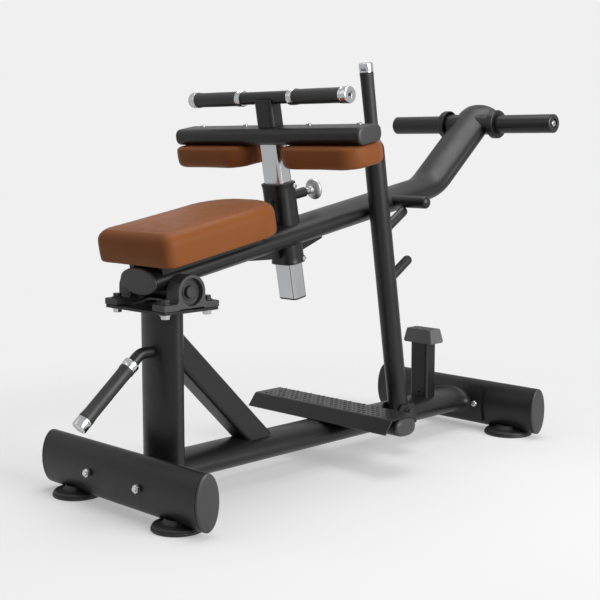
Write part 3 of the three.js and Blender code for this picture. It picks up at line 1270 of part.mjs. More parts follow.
function addSafetyBar(machine) {
  const bar = new THREE.Group();
  bar.position.set(BAR_X, BAR_PIVOT_Y, BAR_PIVOT_Z);
  bar.rotation.x = BAR_LEAN;
  machine.add(bar);
  addPart(bar, 'safety_bar', safetyBar(), 'blackCoat');
  addPart(bar, 'safety_bar_grip', safetyBarGrip(), 'rubber');
  addPart(bar, 'safety_bar_cap', safetyBarCap(), 'chrome');
}

const machine = new THREE.Group();
addFrame(machine);
addPivotMount(machine);
addGrabBar(machine);
addRailFittings(machine);
addThighPadAssembly(addLever(machine));
addSafetyBar(machine);

// Centre the outline on the origin; the model is already symmetrical across X.
const outline = new THREE.Box3().setFromObject(machine, true);
machine.position.y = -(outline.min.y + outline.max.y) / 2;
machine.updateMatrixWorld(true);

export default machine;
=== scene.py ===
"""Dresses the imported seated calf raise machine: its painted tubes, chrome, rubber and upholstery.

Every sub-assembly is a class that holds its sizes in millimetres and builds its own pieces, each in
the frame of the part it belongs to. The machine frame has its zero below the rear base tube.
"""

import logging
import math
from dataclasses import dataclass
from enum import Enum
from typing import Callable, Iterable, Sequence

import bmesh
import bpy
from mathutils import Matrix, Vector

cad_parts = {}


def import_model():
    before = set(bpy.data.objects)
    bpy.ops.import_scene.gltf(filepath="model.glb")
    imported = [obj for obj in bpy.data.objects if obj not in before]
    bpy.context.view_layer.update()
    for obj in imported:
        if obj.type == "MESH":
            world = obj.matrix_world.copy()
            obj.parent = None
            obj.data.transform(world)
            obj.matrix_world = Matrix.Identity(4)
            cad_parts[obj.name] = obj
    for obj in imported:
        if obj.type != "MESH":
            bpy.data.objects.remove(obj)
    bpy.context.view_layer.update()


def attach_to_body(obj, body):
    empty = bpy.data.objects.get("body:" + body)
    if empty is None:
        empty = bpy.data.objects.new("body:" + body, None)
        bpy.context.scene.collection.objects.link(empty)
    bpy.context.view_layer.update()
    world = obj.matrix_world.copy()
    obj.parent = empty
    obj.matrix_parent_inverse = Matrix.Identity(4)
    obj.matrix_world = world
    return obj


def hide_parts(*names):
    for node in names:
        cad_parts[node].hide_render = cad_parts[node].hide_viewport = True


LOG = logging.getLogger("calf_raise")
MM = 0.001

Point = tuple[float, float]
Colour = tuple[float, float, float]
Edges = list[bmesh.types.BMEdge]
Verts = set[bmesh.types.BMVert]
Socket = bpy.types.NodeSocket

ORIGIN = (0.0, 0.0, 0.0)
SIDES = (("right", 1), ("left", -1))


class Body(Enum):
    """The rigid bodies that pieces ride on."""

    FRAME = "frame"
    LEVER = "lever"
    POST = "thigh_post"
    PIN = "pop_pin"
    BAR = "safety_bar"


class Slot(Enum):
    """The record's material slots."""

    BLACK_COAT = "black_coat"
    CAST_BLACK = "cast_black"
    GREY_PLASTIC = "grey_plastic"
    BLACK_PLASTIC = "black_plastic"
    RUBBER = "rubber"
    STEEL = "steel"
    CHROME = "chrome"
    LEATHER = "leather"


class Axis(Enum):
    """Directions that an outline can be swept or turned along."""

    X = Matrix(((0, 0, 1, 0), (1, 0, 0, 0), (0, 1, 0, 0), (0, 0, 0, 1)))
    Y = Matrix(((1, 0, 0, 0), (0, 0, -1, 0), (0, 1, 0, 0), (0, 0, 0, 1)))
    Z = Matrix.Identity(4)


def shift(x: float, y: float, z: float) -> Matrix:
    """Returns the matrix that moves by x, y and z."""
    return Matrix.Translation((x, y, z))


def turn_x(degrees: float) -> Matrix:
    """Returns the matrix that turns about X by an angle in degrees."""
    return Matrix.Rotation(math.radians(degrees), 4, "X")


def scaled(share: float) -> Matrix:
    """Returns the matrix that scales an outline on its own plane."""
    return Matrix.Diagonal((share, share, 1, 1))


@dataclass(frozen=True)
class Layout:
    """Where each sub-assembly's own frame lies, in millimetres."""

    forward_shift: float = -555.5034
    front_base_y: float = 1140.0
    pivot_y: float = 104.5
    pivot_z: float = 461.8
    lever_incline: float = 10.29
    bar_x: float = 88.0
    bar_y: float = 783.0
    bar_z: float = 105.0
    bar_lean: float = 9.0
    grab_y: float = 45.0
    grab_z: float = 329.0
    grab_drop: float = 40.0

    @property
    def machine(self) -> Matrix:
        """Returns the machine frame, with its zero below the rear base tube."""
        return shift(0, self.forward_shift, 0)

    @property
    def front_base(self) -> Matrix:
        """Returns the front base's frame, which faces the rear one."""
        return self.machine @ shift(0, self.front_base_y, 0) @ Matrix.Rotation(math.pi, 4, "Z")

    @property
    def lever(self) -> Matrix:
        """Returns the lever's frame, on its pivot."""
        return self.pivot @ turn_x(self.lever_incline)

    @property
    def pivot(self) -> Matrix:
        """Returns the level frame on the lever's pivot."""
        return self.machine @ shift(0, self.pivot_y, self.pivot_z)

    @property
    def safety_bar(self) -> Matrix:
        """Returns the safety bar's frame, up along it from its pivot."""
        return self.machine @ shift(self.bar_x, self.bar_y, self.bar_z) @ turn_x(self.bar_lean)

    @property
    def grab_bar(self) -> Matrix:
        """Returns the frame of the grab bar's sloping end, with +Z down along it."""
        return self.machine @ shift(0, self.grab_y, self.grab_z) @ turn_x(90 + self.grab_drop)


PLACE = Layout()


class Shader:
    """A material under construction, with patterns on the piece's own coordinates."""

    def __init__(self, name: str) -> None:
        """Starts a material.

        Args:
            name: The material's name.
        """
        self.material = bpy.data.materials.new(name)
        self.material.use_nodes = True
        self.tree = self.material.node_tree
        self.surface = self.tree.nodes["Principled BSDF"]
        self.place = self.tree.nodes.new("ShaderNodeTexCoord").outputs["Object"]

    def put(self, **sockets: float | Sequence[float]) -> None:
        """Sets the surface's own sockets.

        Args:
            **sockets: Values by socket name, with underscores for spaces.
        """
        for name, value in sockets.items():
            self.surface.inputs[name.replace("_", " ")].default_value = value

    def link(self, output: Socket, name: str) -> None:
        """Links an output to the surface's socket of that name."""
        self.tree.links.new(output, self.surface.inputs[name])

    def noise(self, scale: float, detail: float = 3.0, stretch: Sequence[float] = (1, 1, 1)) -> Socket:
        """Adds a noise pattern.

        Args:
            scale: Cells per metre.
            detail: Octaves.
            stretch: How much the pattern is scaled along each axis.

        Returns:
            The pattern's value socket.
        """
        mapping = self.tree.nodes.new("ShaderNodeMapping")
        mapping.inputs["Scale"].default_value = stretch
        self.tree.links.new(self.place, mapping.inputs["Vector"])
        pattern = self.tree.nodes.new("ShaderNodeTexNoise")
        pattern.inputs["Scale"].default_value = scale
        pattern.inputs["Detail"].default_value = detail
        self.tree.links.new(mapping.outputs["Vector"], pattern.inputs["Vector"])
        return pattern.outputs["Fac"]

    def cells(self, scale: float, smooth: float = 0.3) -> Socket:
        """Adds a pattern of rounded cells.

        Args:
            scale: Cells per metre.
            smooth: How softly neighbouring cells meet.

        Returns:
            The distance socket.
        """
        pattern = self.tree.nodes.new("ShaderNodeTexVoronoi")
        pattern.feature = "SMOOTH_F1"
        pattern.inputs["Scale"].default_value = scale
        pattern.inputs["Smoothness"].default_value = smooth
        self.tree.links.new(self.place, pattern.inputs["Vector"])
        return pattern.outputs["Distance"]

    def spread(self, value: Socket, low: float, high: float) -> Socket:
        """Maps a pattern's middle range onto another range.

        Args:
            value: The pattern.
            low: Result where the pattern is dark.
            high: Result where it is bright.

        Returns:
            The mapped socket.
        """
        node = self.tree.nodes.new("ShaderNodeMapRange")
        for name, number in (("From Min", 0.3), ("From Max", 0.7), ("To Min", low), ("To Max", high)):
            node.inputs[name].default_value = number
        self.tree.links.new(value, node.inputs["Value"])
        return node.outputs["Result"]

    def blend(self, share: Socket, first: Colour, second: Colour) -> Socket:
        """Mixes two colours by a pattern.

        Args:
            share: The pattern, from 0 to 1.
            first: Linear colour where it is 0.
            second: Linear colour where it is 1.

        Returns:
            The colour socket.
        """
        node = self.tree.nodes.new("ShaderNodeMix")
        node.data_type = "RGBA"
        node.inputs["A"].default_value = (*first, 1)
        node.inputs["B"].default_value = (*second, 1)
        self.tree.links.new(share, node.inputs["Factor"])
        return node.outputs["Result"]

    def relief(self, layers: Sequence[tuple[Socket, float, float]]) -> None:
        """Adds bump layers to the surface.

        Args:
            layers: Pattern, strength and depth in metres of each layer.
        """
        before = None
        for value, strength, depth in layers:
            node = self.tree.nodes.new("ShaderNodeBump")
            node.inputs["Strength"].default_value = strength
            node.inputs["Distance"].default_value = depth
            self.tree.links.new(value, node.inputs["Height"])
            if before is not None:
                self.tree.links.new(before, node.inputs["Normal"])
            before = node.outputs["Normal"]
        self.link(before, "Normal")


@dataclass(frozen=True)
class Finish:
    """A surface finish, whose material is made once and shared."""

    name: str
    slot: Slot
    colour: Colour
    accent: Colour
    roughness: float
    unevenness: float = 0.04

    def shade(self, shader: Shader) -> None:
        """Adds what sets this finish apart.

        Args:
            shader: The material to dress.
        """

    def material(self) -> bpy.types.Material:
        """Returns the finish's material, which is made on first use."""
        found = bpy.data.materials.get(self.name)
        if found:
            return found
        shader = Shader(self.name)
        drift = shader.noise(7.0, 2.0)
        shader.link(shader.blend(shader.spread(drift, 0.0, 1.0), self.colour, self.accent), "Base Color")
        worn = shader.noise(38.0, 4.0)
        rough = shader.spread(worn, self.roughness - self.unevenness, self.roughness + self.unevenness)
        shader.link(rough, "Roughness")
        self.shade(shader)
        return shader.material


@dataclass(frozen=True)
class PowderCoat(Finish):
    """Baked powder paint: satin, with the faint orange peel of the cured coat."""

    peel: float = 260.0
    grain: float = 1900.0

    def shade(self, shader: Shader) -> None:
        """Adds orange peel and a fine grain under a thin clear film."""
        shader.put(Specular_IOR_Level=0.34, Coat_Weight=0.06, Coat_Roughness=0.30)
        shader.relief([
            (shader.noise(self.peel, 2.0), 0.035, 0.0002),
            (shader.noise(self.grain, 2.0), 0.03, 0.0001),
        ])


@dataclass(frozen=True)
class Casting(Finish):
    """Painted cast iron: duller and visibly grainy."""

    grain: float = 620.0

    def shade(self, shader: Shader) -> None:
        """Adds the sand-cast grain."""
        shader.put(Specular_IOR_Level=0.45)
        shader.relief([(shader.noise(self.grain, 4.0), 0.16, 0.0003)])


@dataclass(frozen=True)
class Plating(Finish):
    """Chrome or zinc: metal with faint polishing marks."""

    marks: float = 90.0
    depth: float = 0.03

    def shade(self, shader: Shader) -> None:
        """Makes the surface metal and adds drawn polishing marks."""
        shader.put(Metallic=1.0)
        shader.relief([(shader.noise(self.marks, 3.0, (1, 1, 9)), self.depth, 0.0002)])


@dataclass(frozen=True)
class Moulding(Finish):
    """Moulded plastic or rubber with a fine spark texture."""

    grain: float = 1400.0
    depth: float = 0.15
    specular: float = 0.42

    def shade(self, shader: Shader) -> None:
        """Adds the mould's spark texture."""
        shader.put(Specular_IOR_Level=self.specular)
        shader.relief([(shader.noise(self.grain, 3.0), self.depth, 0.0002)])


@dataclass(frozen=True)
class Upholstery(Finish):
    """Semi-gloss upholstery with a fine pebble grain and soft handling marks."""

    pebble: float = 950.0
    crease: float = 60.0

    def shade(self, shader: Shader) -> None:
        """Adds pebble grain, slow undulation and a soft sheen."""
        shader.put(Specular_IOR_Level=0.10, Sheen_Weight=0.01, Sheen_Roughness=0.4)
        shader.relief([
            (shader.noise(self.crease, 3.0), 0.10, 0.0010),
            (shader.cells(self.pebble), 0.16, 0.00025),
        ])


BLACK = PowderCoat(
    "satin_powder_coat", Slot.BLACK_COAT,
    (0.0065, 0.0065, 0.0068), (0.0090, 0.0090, 0.0093), 0.39,
)
CAST = Casting(
    "painted_casting", Slot.CAST_BLACK,
    (0.030, 0.030, 0.031), (0.042, 0.042, 0.043), 0.50,
)
BLACKENED = Casting(
    "blackened_steel", Slot.CAST_BLACK,
    (0.022, 0.022, 0.023), (0.032, 0.032, 0.033), 0.34,
)
PLASTIC = Moulding(
    "moulded_cap", Slot.GREY_PLASTIC,
    (0.031, 0.031, 0.032), (0.039, 0.039, 0.040), 0.42,
)
DARK_PLASTIC = Moulding(
    "dark_moulded_cap", Slot.BLACK_PLASTIC,
    (0.012, 0.012, 0.012), (0.017, 0.017, 0.017), 0.38,
)
RUBBER = Moulding(
    "moulded_rubber", Slot.RUBBER,
    (0.012, 0.012, 0.012), (0.018, 0.018, 0.018), 0.50, depth=0.22,
)
GRIP = Moulding(
    "hand_grip_rubber", Slot.RUBBER,
    (0.015, 0.015, 0.015), (0.024, 0.024, 0.024), 0.46, depth=0.30,
)
BUMPER = Moulding(
    "bumper_rubber", Slot.RUBBER,
    (0.088, 0.088, 0.089), (0.110, 0.110, 0.111), 0.62, depth=0.35,
)
CHROME = Plating(
    "polished_chrome", Slot.CHROME,
    (0.55, 0.56, 0.57), (0.59, 0.60, 0.61), 0.14, unevenness=0.02,
)
ZINC = Plating(
    "bright_zinc", Slot.STEEL,
    (0.56, 0.57, 0.58), (0.64, 0.64, 0.64), 0.22, marks=400.0, depth=0.08,
)
PHOSPHATE = Plating(
    "phosphated_steel", Slot.STEEL,
    (0.045, 0.045, 0.046), (0.070, 0.070, 0.071), 0.45, marks=400.0,
)
KNOB = Plating(
    "satin_knob", Slot.STEEL,
    (0.50, 0.50, 0.51), (0.56, 0.56, 0.57), 0.48, unevenness=0.03,
)
TAN = Upholstery(
    "tan_upholstery", Slot.LEATHER,
    (0.200, 0.065, 0.0180), (0.220, 0.073, 0.0215), 0.42, unevenness=0.05,
)


def dome(radius: float, start: float, end: float, depth: float, steps: int = 8) -> list[Point]:
    """Makes the profile of a rod with a rounded end.

    Args:
        radius: The rod's radius.
        start: Where the rod starts.
        end: The top of the rounded end.
        depth: How long the rounded end is.
        steps: Segments in the rounded end.

    Returns:
        Points of radius and distance along the axis.
    """
    arc = [(i / steps) * math.pi / 2 for i in range(steps + 1)]
    tip = [(radius * math.cos(a), end - depth + depth * math.sin(a)) for a in arc]
    return [(0, start), (radius, start), *tip[:-1], (0, end)]


def pipe(outer: float, inner: float, start: float, end: float) -> list[Point]:
    """Returns the closed profile of a ring or tube between two places along its axis."""
    return [(inner, start), (outer, start), (outer, end), (inner, end), (inner, start)]


def rod(radius: float, start: float, end: float) -> list[Point]:
    """Returns the profile of a solid rod between two places along its axis."""
    return [(0, start), (radius, start), (radius, end), (0, end)]


def facing(profile: Sequence[Point], sign: int) -> list[Point]:
    """Returns a profile with its distances turned to the other side where sign is -1."""
    return [(radius, sign * along) for radius, along in profile]


def around(ring: Sequence[bmesh.types.BMVert]) -> Edges:
    """Returns the edges of a ring, in the same order in each run."""
    return list(dict.fromkeys(edge for vert in ring for edge in vert.link_edges))


class Blank:
    """A mesh being shaped, in millimetres, in the frame of one sub-assembly."""

    def __init__(self, frame: Matrix) -> None:
        """Starts an empty mesh.

        Args:
            frame: Where the sub-assembly's frame lies.
        """
        self.frame = frame
        self.mesh = bmesh.new()

    def mark(self) -> Verts:
        """Returns the vertices made so far."""
        return set(self.mesh.verts)

    def since(self, mark: Verts) -> list[bmesh.types.BMVert]:
        """Returns the vertices made after a mark."""
        return [vert for vert in self.mesh.verts if vert not in mark]

    def move(self, mark: Verts, matrix: Matrix) -> None:
        """Moves what was made after a mark.

        Args:
            mark: Vertices that stay.
            matrix: Where the rest goes.
        """
        bmesh.ops.transform(self.mesh, matrix=matrix, verts=self.since(mark))

    def oval(self, width: float, height: float, power: float = 2.0, sides: int = 64) -> Edges:
        """Makes an oval outline.

        Args:
            width: Size along the outline's first direction.
            height: Size along its second direction.
            power: 2 for an ellipse, more for a squarer oval.
            sides: Number of edges.

        Returns:
            The outline's edges.
        """
        ring = bmesh.ops.create_circle(self.mesh, cap_ends=False, segments=sides, radius=1.0)["verts"]
        for vert in ring:
            for axis, half in ((0, width / 2), (1, height / 2)):
                share = vert.co[axis]
                vert.co[axis] = math.copysign(abs(share) ** (2 / power), share) * half
        return around(ring)

    def rounded(self, width: float, height: float, radii: Sequence[float], segments: int = 6) -> Edges:
        """Makes a rectangle outline with rounded corners.

        Args:
            width: Size along the outline's first direction.
            height: Size along its second direction.
            radii: Radius of the corners on the second direction's positive and negative side.
            segments: Edges in each corner.

        Returns:
            The outline's edges.
        """
        count = 4 * (segments + 1)
        ring = bmesh.ops.create_circle(self.mesh, cap_ends=False, segments=count, radius=1.0)["verts"]
        ring.sort(key=lambda vert: (math.atan2(vert.co.y, vert.co.x) + 0.01) % math.tau)
        for index, vert in enumerate(ring):
            quarter, step = divmod(index, segments + 1)
            angle = (quarter + step / segments) * math.pi / 2
            across = 1 if quarter in (0, 3) else -1
            upward = 1 if quarter < 2 else -1
            radius = radii[0] if upward > 0 else radii[-1]
            vert.co = Vector((
                across * (width / 2 - radius) + radius * math.cos(angle),
                upward * (height / 2 - radius) + radius * math.sin(angle),
                0,
            ))
        return around(ring)

    def sweep(self, edges: Edges, stations: Sequence[Matrix]) -> None:
        """Extrudes an outline through a run of places and closes both ends.

        Args:
            edges: The outline, on its own flat plane.
            stations: Where the outline lies at each stop.
        """
        ring = list({vert for edge in edges for vert in edge.verts})
        bmesh.ops.transform(self.mesh, matrix=stations[0], verts=ring)
        loop = first = edges
        for here, there in zip(stations, stations[1:]):
            grown = bmesh.ops.extrude_edge_only(self.mesh, edges=loop)["geom"]
            moved = {item for item in grown if isinstance(item, bmesh.types.BMVert)}
            bmesh.ops.transform(self.mesh, matrix=there @ here.inverted(), verts=list(moved))
            loop = [
                item for item in grown
                if isinstance(item, bmesh.types.BMEdge) and moved.issuperset(item.verts)
            ]
        bmesh.ops.edgeloop_fill(self.mesh, edges=first)
        bmesh.ops.edgeloop_fill(self.mesh, edges=loop)

    def straight(self, edges: Edges, axis: Axis, *stops: float, at: Sequence[float] = ORIGIN) -> None:
        """Extrudes an outline in a straight line.

        Args:
            edges: The outline.
            axis: The direction.
            *stops: Distances along it.
            at: Where the line's zero lies.
        """
        self.tapered(edges, axis, [(stop, 1.0) for stop in stops], at)

    def tapered(
        self, edges: Edges, axis: Axis, stops: Sequence[Point], at: Sequence[float] = ORIGIN,
    ) -> None:
        """Extrudes an outline in a straight line, with its own size at each stop.

        Args:
            edges: The outline.
            axis: The direction.
            stops: Distance along the line and share of the outline's size.
            at: Where the line's zero lies.
        """
        line = Matrix.Translation(at) @ axis.value
        self.sweep(edges, [line @ shift(0, 0, along) @ scaled(share) for along, share in stops])

    def turned(
        self, profile: Sequence[Point], axis: Axis, at: Sequence[float] = ORIGIN, steps: int = 48,
    ) -> None:
        """Spins a profile round an axis.

        Args:
            profile: Points of radius and distance along the axis.
            axis: The axis.
            at: Where its zero lies.
            steps: Steps in a full turn.
        """
        before = self.mark()
        verts = [self.mesh.verts.new((radius, 0, along)) for radius, along in profile]
        edges = [self.mesh.edges.new(pair) for pair in zip(verts, verts[1:])]
        bmesh.ops.spin(
            self.mesh, geom=verts + edges, cent=(0, 0, 0), axis=(0, 0, 1), angle=math.tau, steps=steps,
            use_merge=True,
        )
        bmesh.ops.remove_doubles(self.mesh, verts=self.since(before), dist=0.003)
        self.move(before, Matrix.Translation(at) @ axis.value)

    def block(self, size: Sequence[float], at: Sequence[float]) -> None:
        """Makes a box.

        Args:
            size: Its three sides.
            at: Its centre.
        """
        before = self.mark()
        bmesh.ops.create_cube(self.mesh, size=1.0)
        self.move(before, Matrix.Translation(at) @ Matrix.Diagonal((*size, 1)))

    def hexagon(
        self, radius: float, start: float, end: float, axis: Axis, at: Sequence[float] = ORIGIN,
    ) -> None:
        """Makes a hexagonal nut or head.

        Args:
            radius: Centre to corner.
            start: Where it starts along the axis.
            end: Where it ends.
            axis: The axis.
            at: Where its zero lies.
        """
        self.straight(self.oval(2 * radius, 2 * radius, sides=6), axis, start, end, at=at)

    def polygon(self, outline: Sequence[Point], axis: Axis, start: float, end: float) -> None:
        """Extrudes a polygon in a straight line.

        Args:
            outline: Its corners.
            axis: The direction.
            start: Where it starts.
            end: Where it ends.
        """
        verts = [self.mesh.verts.new((x, y, 0)) for x, y in outline]
        edges = [self.mesh.edges.new(pair) for pair in zip(verts, verts[1:] + verts[:1])]
        self.straight(edges, axis, start, end)

    def mirrored(self) -> None:
        """Adds the mirror image across X."""
        geometry = self.mesh.verts[:] + self.mesh.edges[:] + self.mesh.faces[:]
        copied = bmesh.ops.duplicate(self.mesh, geom=geometry)["geom"]
        verts = [item for item in copied if isinstance(item, bmesh.types.BMVert)]
        bmesh.ops.scale(self.mesh, vec=(-1, 1, 1), verts=verts)

    def shaped(self, rule: Callable[[Vector], Vector], mark: Iterable[bmesh.types.BMVert] = ()) -> None:
        """Moves each vertex by a rule.

        Args:
            rule: Gives a vertex its new place.
            mark: Vertices that stay.
        """
        for vert in self.since(set(mark)):
            vert.co = rule(vert.co)

    def outward(self) -> None:
        """Points all faces outwards."""
        bmesh.ops.remove_doubles(self.mesh, verts=self.mesh.verts[:], dist=0.003)
        bmesh.ops.recalc_face_normals(self.mesh, faces=self.mesh.faces[:])

    def eased(self, width: float, segments: int = 2, angle: float = 35.0) -> "Blank":
        """Rounds the sharp edges.

        Args:
            width: How far back each edge is cut.
            segments: Steps across the rounding.
            angle: Edges sharper than this are rounded.

        Returns:
            This blank.
        """
        self.outward()
        limit = math.radians(angle)
        sharp = [
            edge for edge in self.mesh.edges
            if len(edge.link_faces) == 2 and edge.calc_face_angle(0) > limit
        ]
        bmesh.ops.bevel(
            self.mesh, geom=sharp, offset=width, segments=segments, profile=0.5, material=-1,
            affect="EDGES", clamp_overlap=True,
        )
        return self

    def object(self, name: str) -> bpy.types.Object:
        """Makes the blank a Blender object, as it stands.

        Args:
            name: The object's name.

        Returns:
            The new object.
        """
        data = bpy.data.meshes.new(name)
        self.mesh.to_mesh(data)
        self.mesh.free()
        piece = bpy.data.objects.new(name, data)
        bpy.context.scene.collection.objects.link(piece)
        return piece

    def carved(self, *tools: "Blank") -> "Blank":
        """Cuts other blanks out of this one.

        Args:
            *tools: What is cut away, in the same frame.

        Returns:
            This blank.
        """
        self.outward()
        piece = self.object("carving")
        cutters = []
        for tool in tools:
            tool.outward()
            cutters.append(tool.object("cutter"))
            modifier = piece.modifiers.new("cut", "BOOLEAN")
            modifier.operation = "DIFFERENCE"
            modifier.solver = "EXACT"
            modifier.object = cutters[-1]
        evaluated = piece.evaluated_get(bpy.context.evaluated_depsgraph_get())
        result = bpy.data.meshes.new_from_object(evaluated)
        self.mesh = bmesh.new()
        self.mesh.from_mesh(result)
        for spare in (piece, *cutters):
            bpy.data.meshes.remove(spare.data)
        bpy.data.meshes.remove(result)
        return self

    def settle(
        self, name: str, finish: Finish, body: Body, *nodes: str, angle: float = 38.0,
    ) -> bpy.types.Object:
        """Makes the blank a finished piece of the machine.

        Args:
            name: The piece's name.
            finish: Its finish.
            body: The body it rides on.
            *nodes: The CAD nodes that it stands for.
            angle: Edges sharper than this stay crisp.

        Returns:
            The piece.
        """
        self.outward()
        self.mesh.transform(Matrix.Scale(MM, 4) @ self.frame)
        piece = self.object(name)
        dress(piece, finish, angle)
        attach(piece, finish, body, *nodes)
        return piece


def dress(piece: bpy.types.Object, finish: Finish, angle: float) -> None:
    """Gives a piece its material and smooth shading.

    Args:
        piece: The piece.
        finish: Its finish.
        angle: Edges sharper than this stay crisp.
    """
    piece.data.materials.clear()
    piece.data.materials.append(finish.material())
    piece.data.polygons.foreach_set("use_smooth", [True] * len(piece.data.polygons))
    piece.data.set_sharp_from_angle(angle=math.radians(angle))
    weighted = piece.modifiers.new("weighted_normals", "WEIGHTED_NORMAL")
    weighted.keep_sharp = True


def attach(piece: bpy.types.Object, finish: Finish, body: Body, *nodes: str) -> None:
    """Declares what a piece rides on and stands for.

    Args:
        piece: The piece.
        finish: Not used.
        body: The body it rides on.
        *nodes: The CAD nodes that it stands for.
    """
    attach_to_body(piece, body.value)
    if nodes:
        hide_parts(*nodes)
    LOG.info("%s: %d faces", piece.name, len(piece.data.polygons))


def curve_height(offset: float, half_width: float, half_height: float) -> float:
    """Returns how high an oval's surface lies at an offset from its centre line."""
    return half_height * math.sqrt(max(0.0, 1 - (offset / half_width) ** 2))


@dataclass
class Base:
    """One base tube with its end caps, bolts and feet."""

    place: str
    frame: Matrix
    sides: tuple[str, str]
    foot_radius: float
    width: float = 530.0
    height: float = 120.0
    depth: float = 60.0
    centre_z: float = 72.0
    cap_depth: float = 7.0
    bolt_x: float = 85.0
    foot_x: float = 171.0
    foot_top: float = 14.0
    neck_top: float = 24.0

    def tube(self) -> None:
        """Builds the oval base tube."""
        half = self.width / 2 - self.cap_depth
        blank = Blank(self.frame)
        ring = blank.oval(self.depth, self.height, sides=96)
        blank.straight(ring, Axis.X, -half, half, at=(0, 0, self.centre_z))
        tube = f"{self.place}_base_tube"
        blank.eased(0.8).settle(f"{tube}_shell", BLACK, Body.FRAME, tube)

    def cap(self, side: str, sign: int) -> None:
        """Builds an end cap: a rim a little smaller than the tube and a slightly bowed face.

        Args:
            side: The user's side that it is on.
            sign: 1 at the frame's +X end, -1 at the other.
        """
        start = self.width / 2 - self.cap_depth
        bow = [
            (0.2, 0.965), (1.4, 0.965), (1.5, 0.995), (4.2, 0.995),
            (5.4, 0.975), (6.2, 0.93), (6.7, 0.8), (self.cap_depth, 0.5),
        ]
        stops = [(sign * (start + out), share) for out, share in bow]
        blank = Blank(self.frame)
        ring = blank.oval(self.depth, self.height, sides=96)
        blank.tapered(ring, Axis.X, stops, at=(0, 0, self.centre_z))
        tag = f"{self.place}_{side}"
        blank.settle(f"{tag}_end_cap", PLASTIC, Body.FRAME, f"{tag}_base_end_cap")

    def bolt(self, side: str, sign: int) -> None:
        """Builds a through bolt: nut and thread end outside, washer and head at the saddle plate.

        Args:
            side: The user's side that it is on.
            sign: 1 on the frame's +X side, -1 on the other.
        """
        at = (sign * self.bolt_x, 0, self.centre_z)
        # Distances run along this frame's -Y, so the outer side is the positive one.
        face = self.depth / 2
        saddle = -face - 6.4
        tag = f"{self.place}_{side}"
        washer = Blank(self.frame)
        washer.turned(pipe(11.5, 6.2, -face - 3.4, -face - 0.2), Axis.Y, at=at)
        washer.eased(0.6).settle(f"{tag}_bolt_washer", DARK_PLASTIC, Body.FRAME)
        blank = Blank(self.frame)
        blank.hexagon(9.6, face + 3.4, face + 10.4, Axis.Y, at=at)
        blank.turned([
            (0, face + 10), (5.6, face + 10), (5.6, face + 13.6), (4.6, face + 14.6), (0, face + 14.6),
        ], Axis.Y, at=at)
        blank.turned([
            (0, saddle + 2), (8.6, saddle + 2), (8.6, saddle - 1.5), (7.2, saddle - 4.4),
            (3.4, saddle - 5.6), (3.2, saddle - 3.6), (0, saddle - 3.6),
        ], Axis.Y, at=at)
        blank.eased(0.5).settle(f"{tag}_bolt", ZINC, Body.FRAME, f"{tag}_base_bolt")

    def foot(self, side: str, sign: int) -> None:
        """Builds a two-tier rubber foot moulded to the tube's underside.

        Args:
            side: The user's side that it is on.
            sign: 1 on the frame's +X side, -1 on the other.
        """
        radius = self.foot_radius
        tiers = [
            (3, 0), (1, 0.6), (0, 2), (0, 5.4), (0.8, 6.6), (2.6, 7.0), (2.8, 7.8), (2.2, 8.6),
            (2.6, 10.6), (4.5, 12.4), (8, 13.4), (16, self.foot_top),
        ]
        neck = [(0.6, 15), (0.54, 18), *[(share, self.neck_top) for share in (0.47, 0.36, 0.24, 0.12, 0)]]
        profile = [
            (0, 0),
            *[(radius - inset, up) for inset, up in tiers],
            *[(radius * share, up) for share, up in neck],
        ]
        blank = Blank(self.frame)
        blank.turned(profile, Axis.Z, at=(sign * self.foot_x, 0, 0), steps=96)

        def under_tube(place: Vector) -> Vector:
            """Returns the place, pushed down where the tube presses on the foot."""
            low = self.centre_z - curve_height(place.y, self.depth / 2, self.height / 2) - 0.2
            if abs(place.y) >= self.depth / 2:
                return place
            return Vector((place.x, place.y, min(place.z, low)))

        blank.shaped(under_tube)
        foot = f"{self.place}_{side}_foot"
        blank.settle(f"{foot}_pad", RUBBER, Body.FRAME, foot)

    def build(self) -> None:
        """Builds the whole base."""
        self.tube()
        for side, sign in zip(self.sides, (1, -1)):
            self.cap(side, sign)
            self.bolt(side, sign)
            self.foot(side, sign)


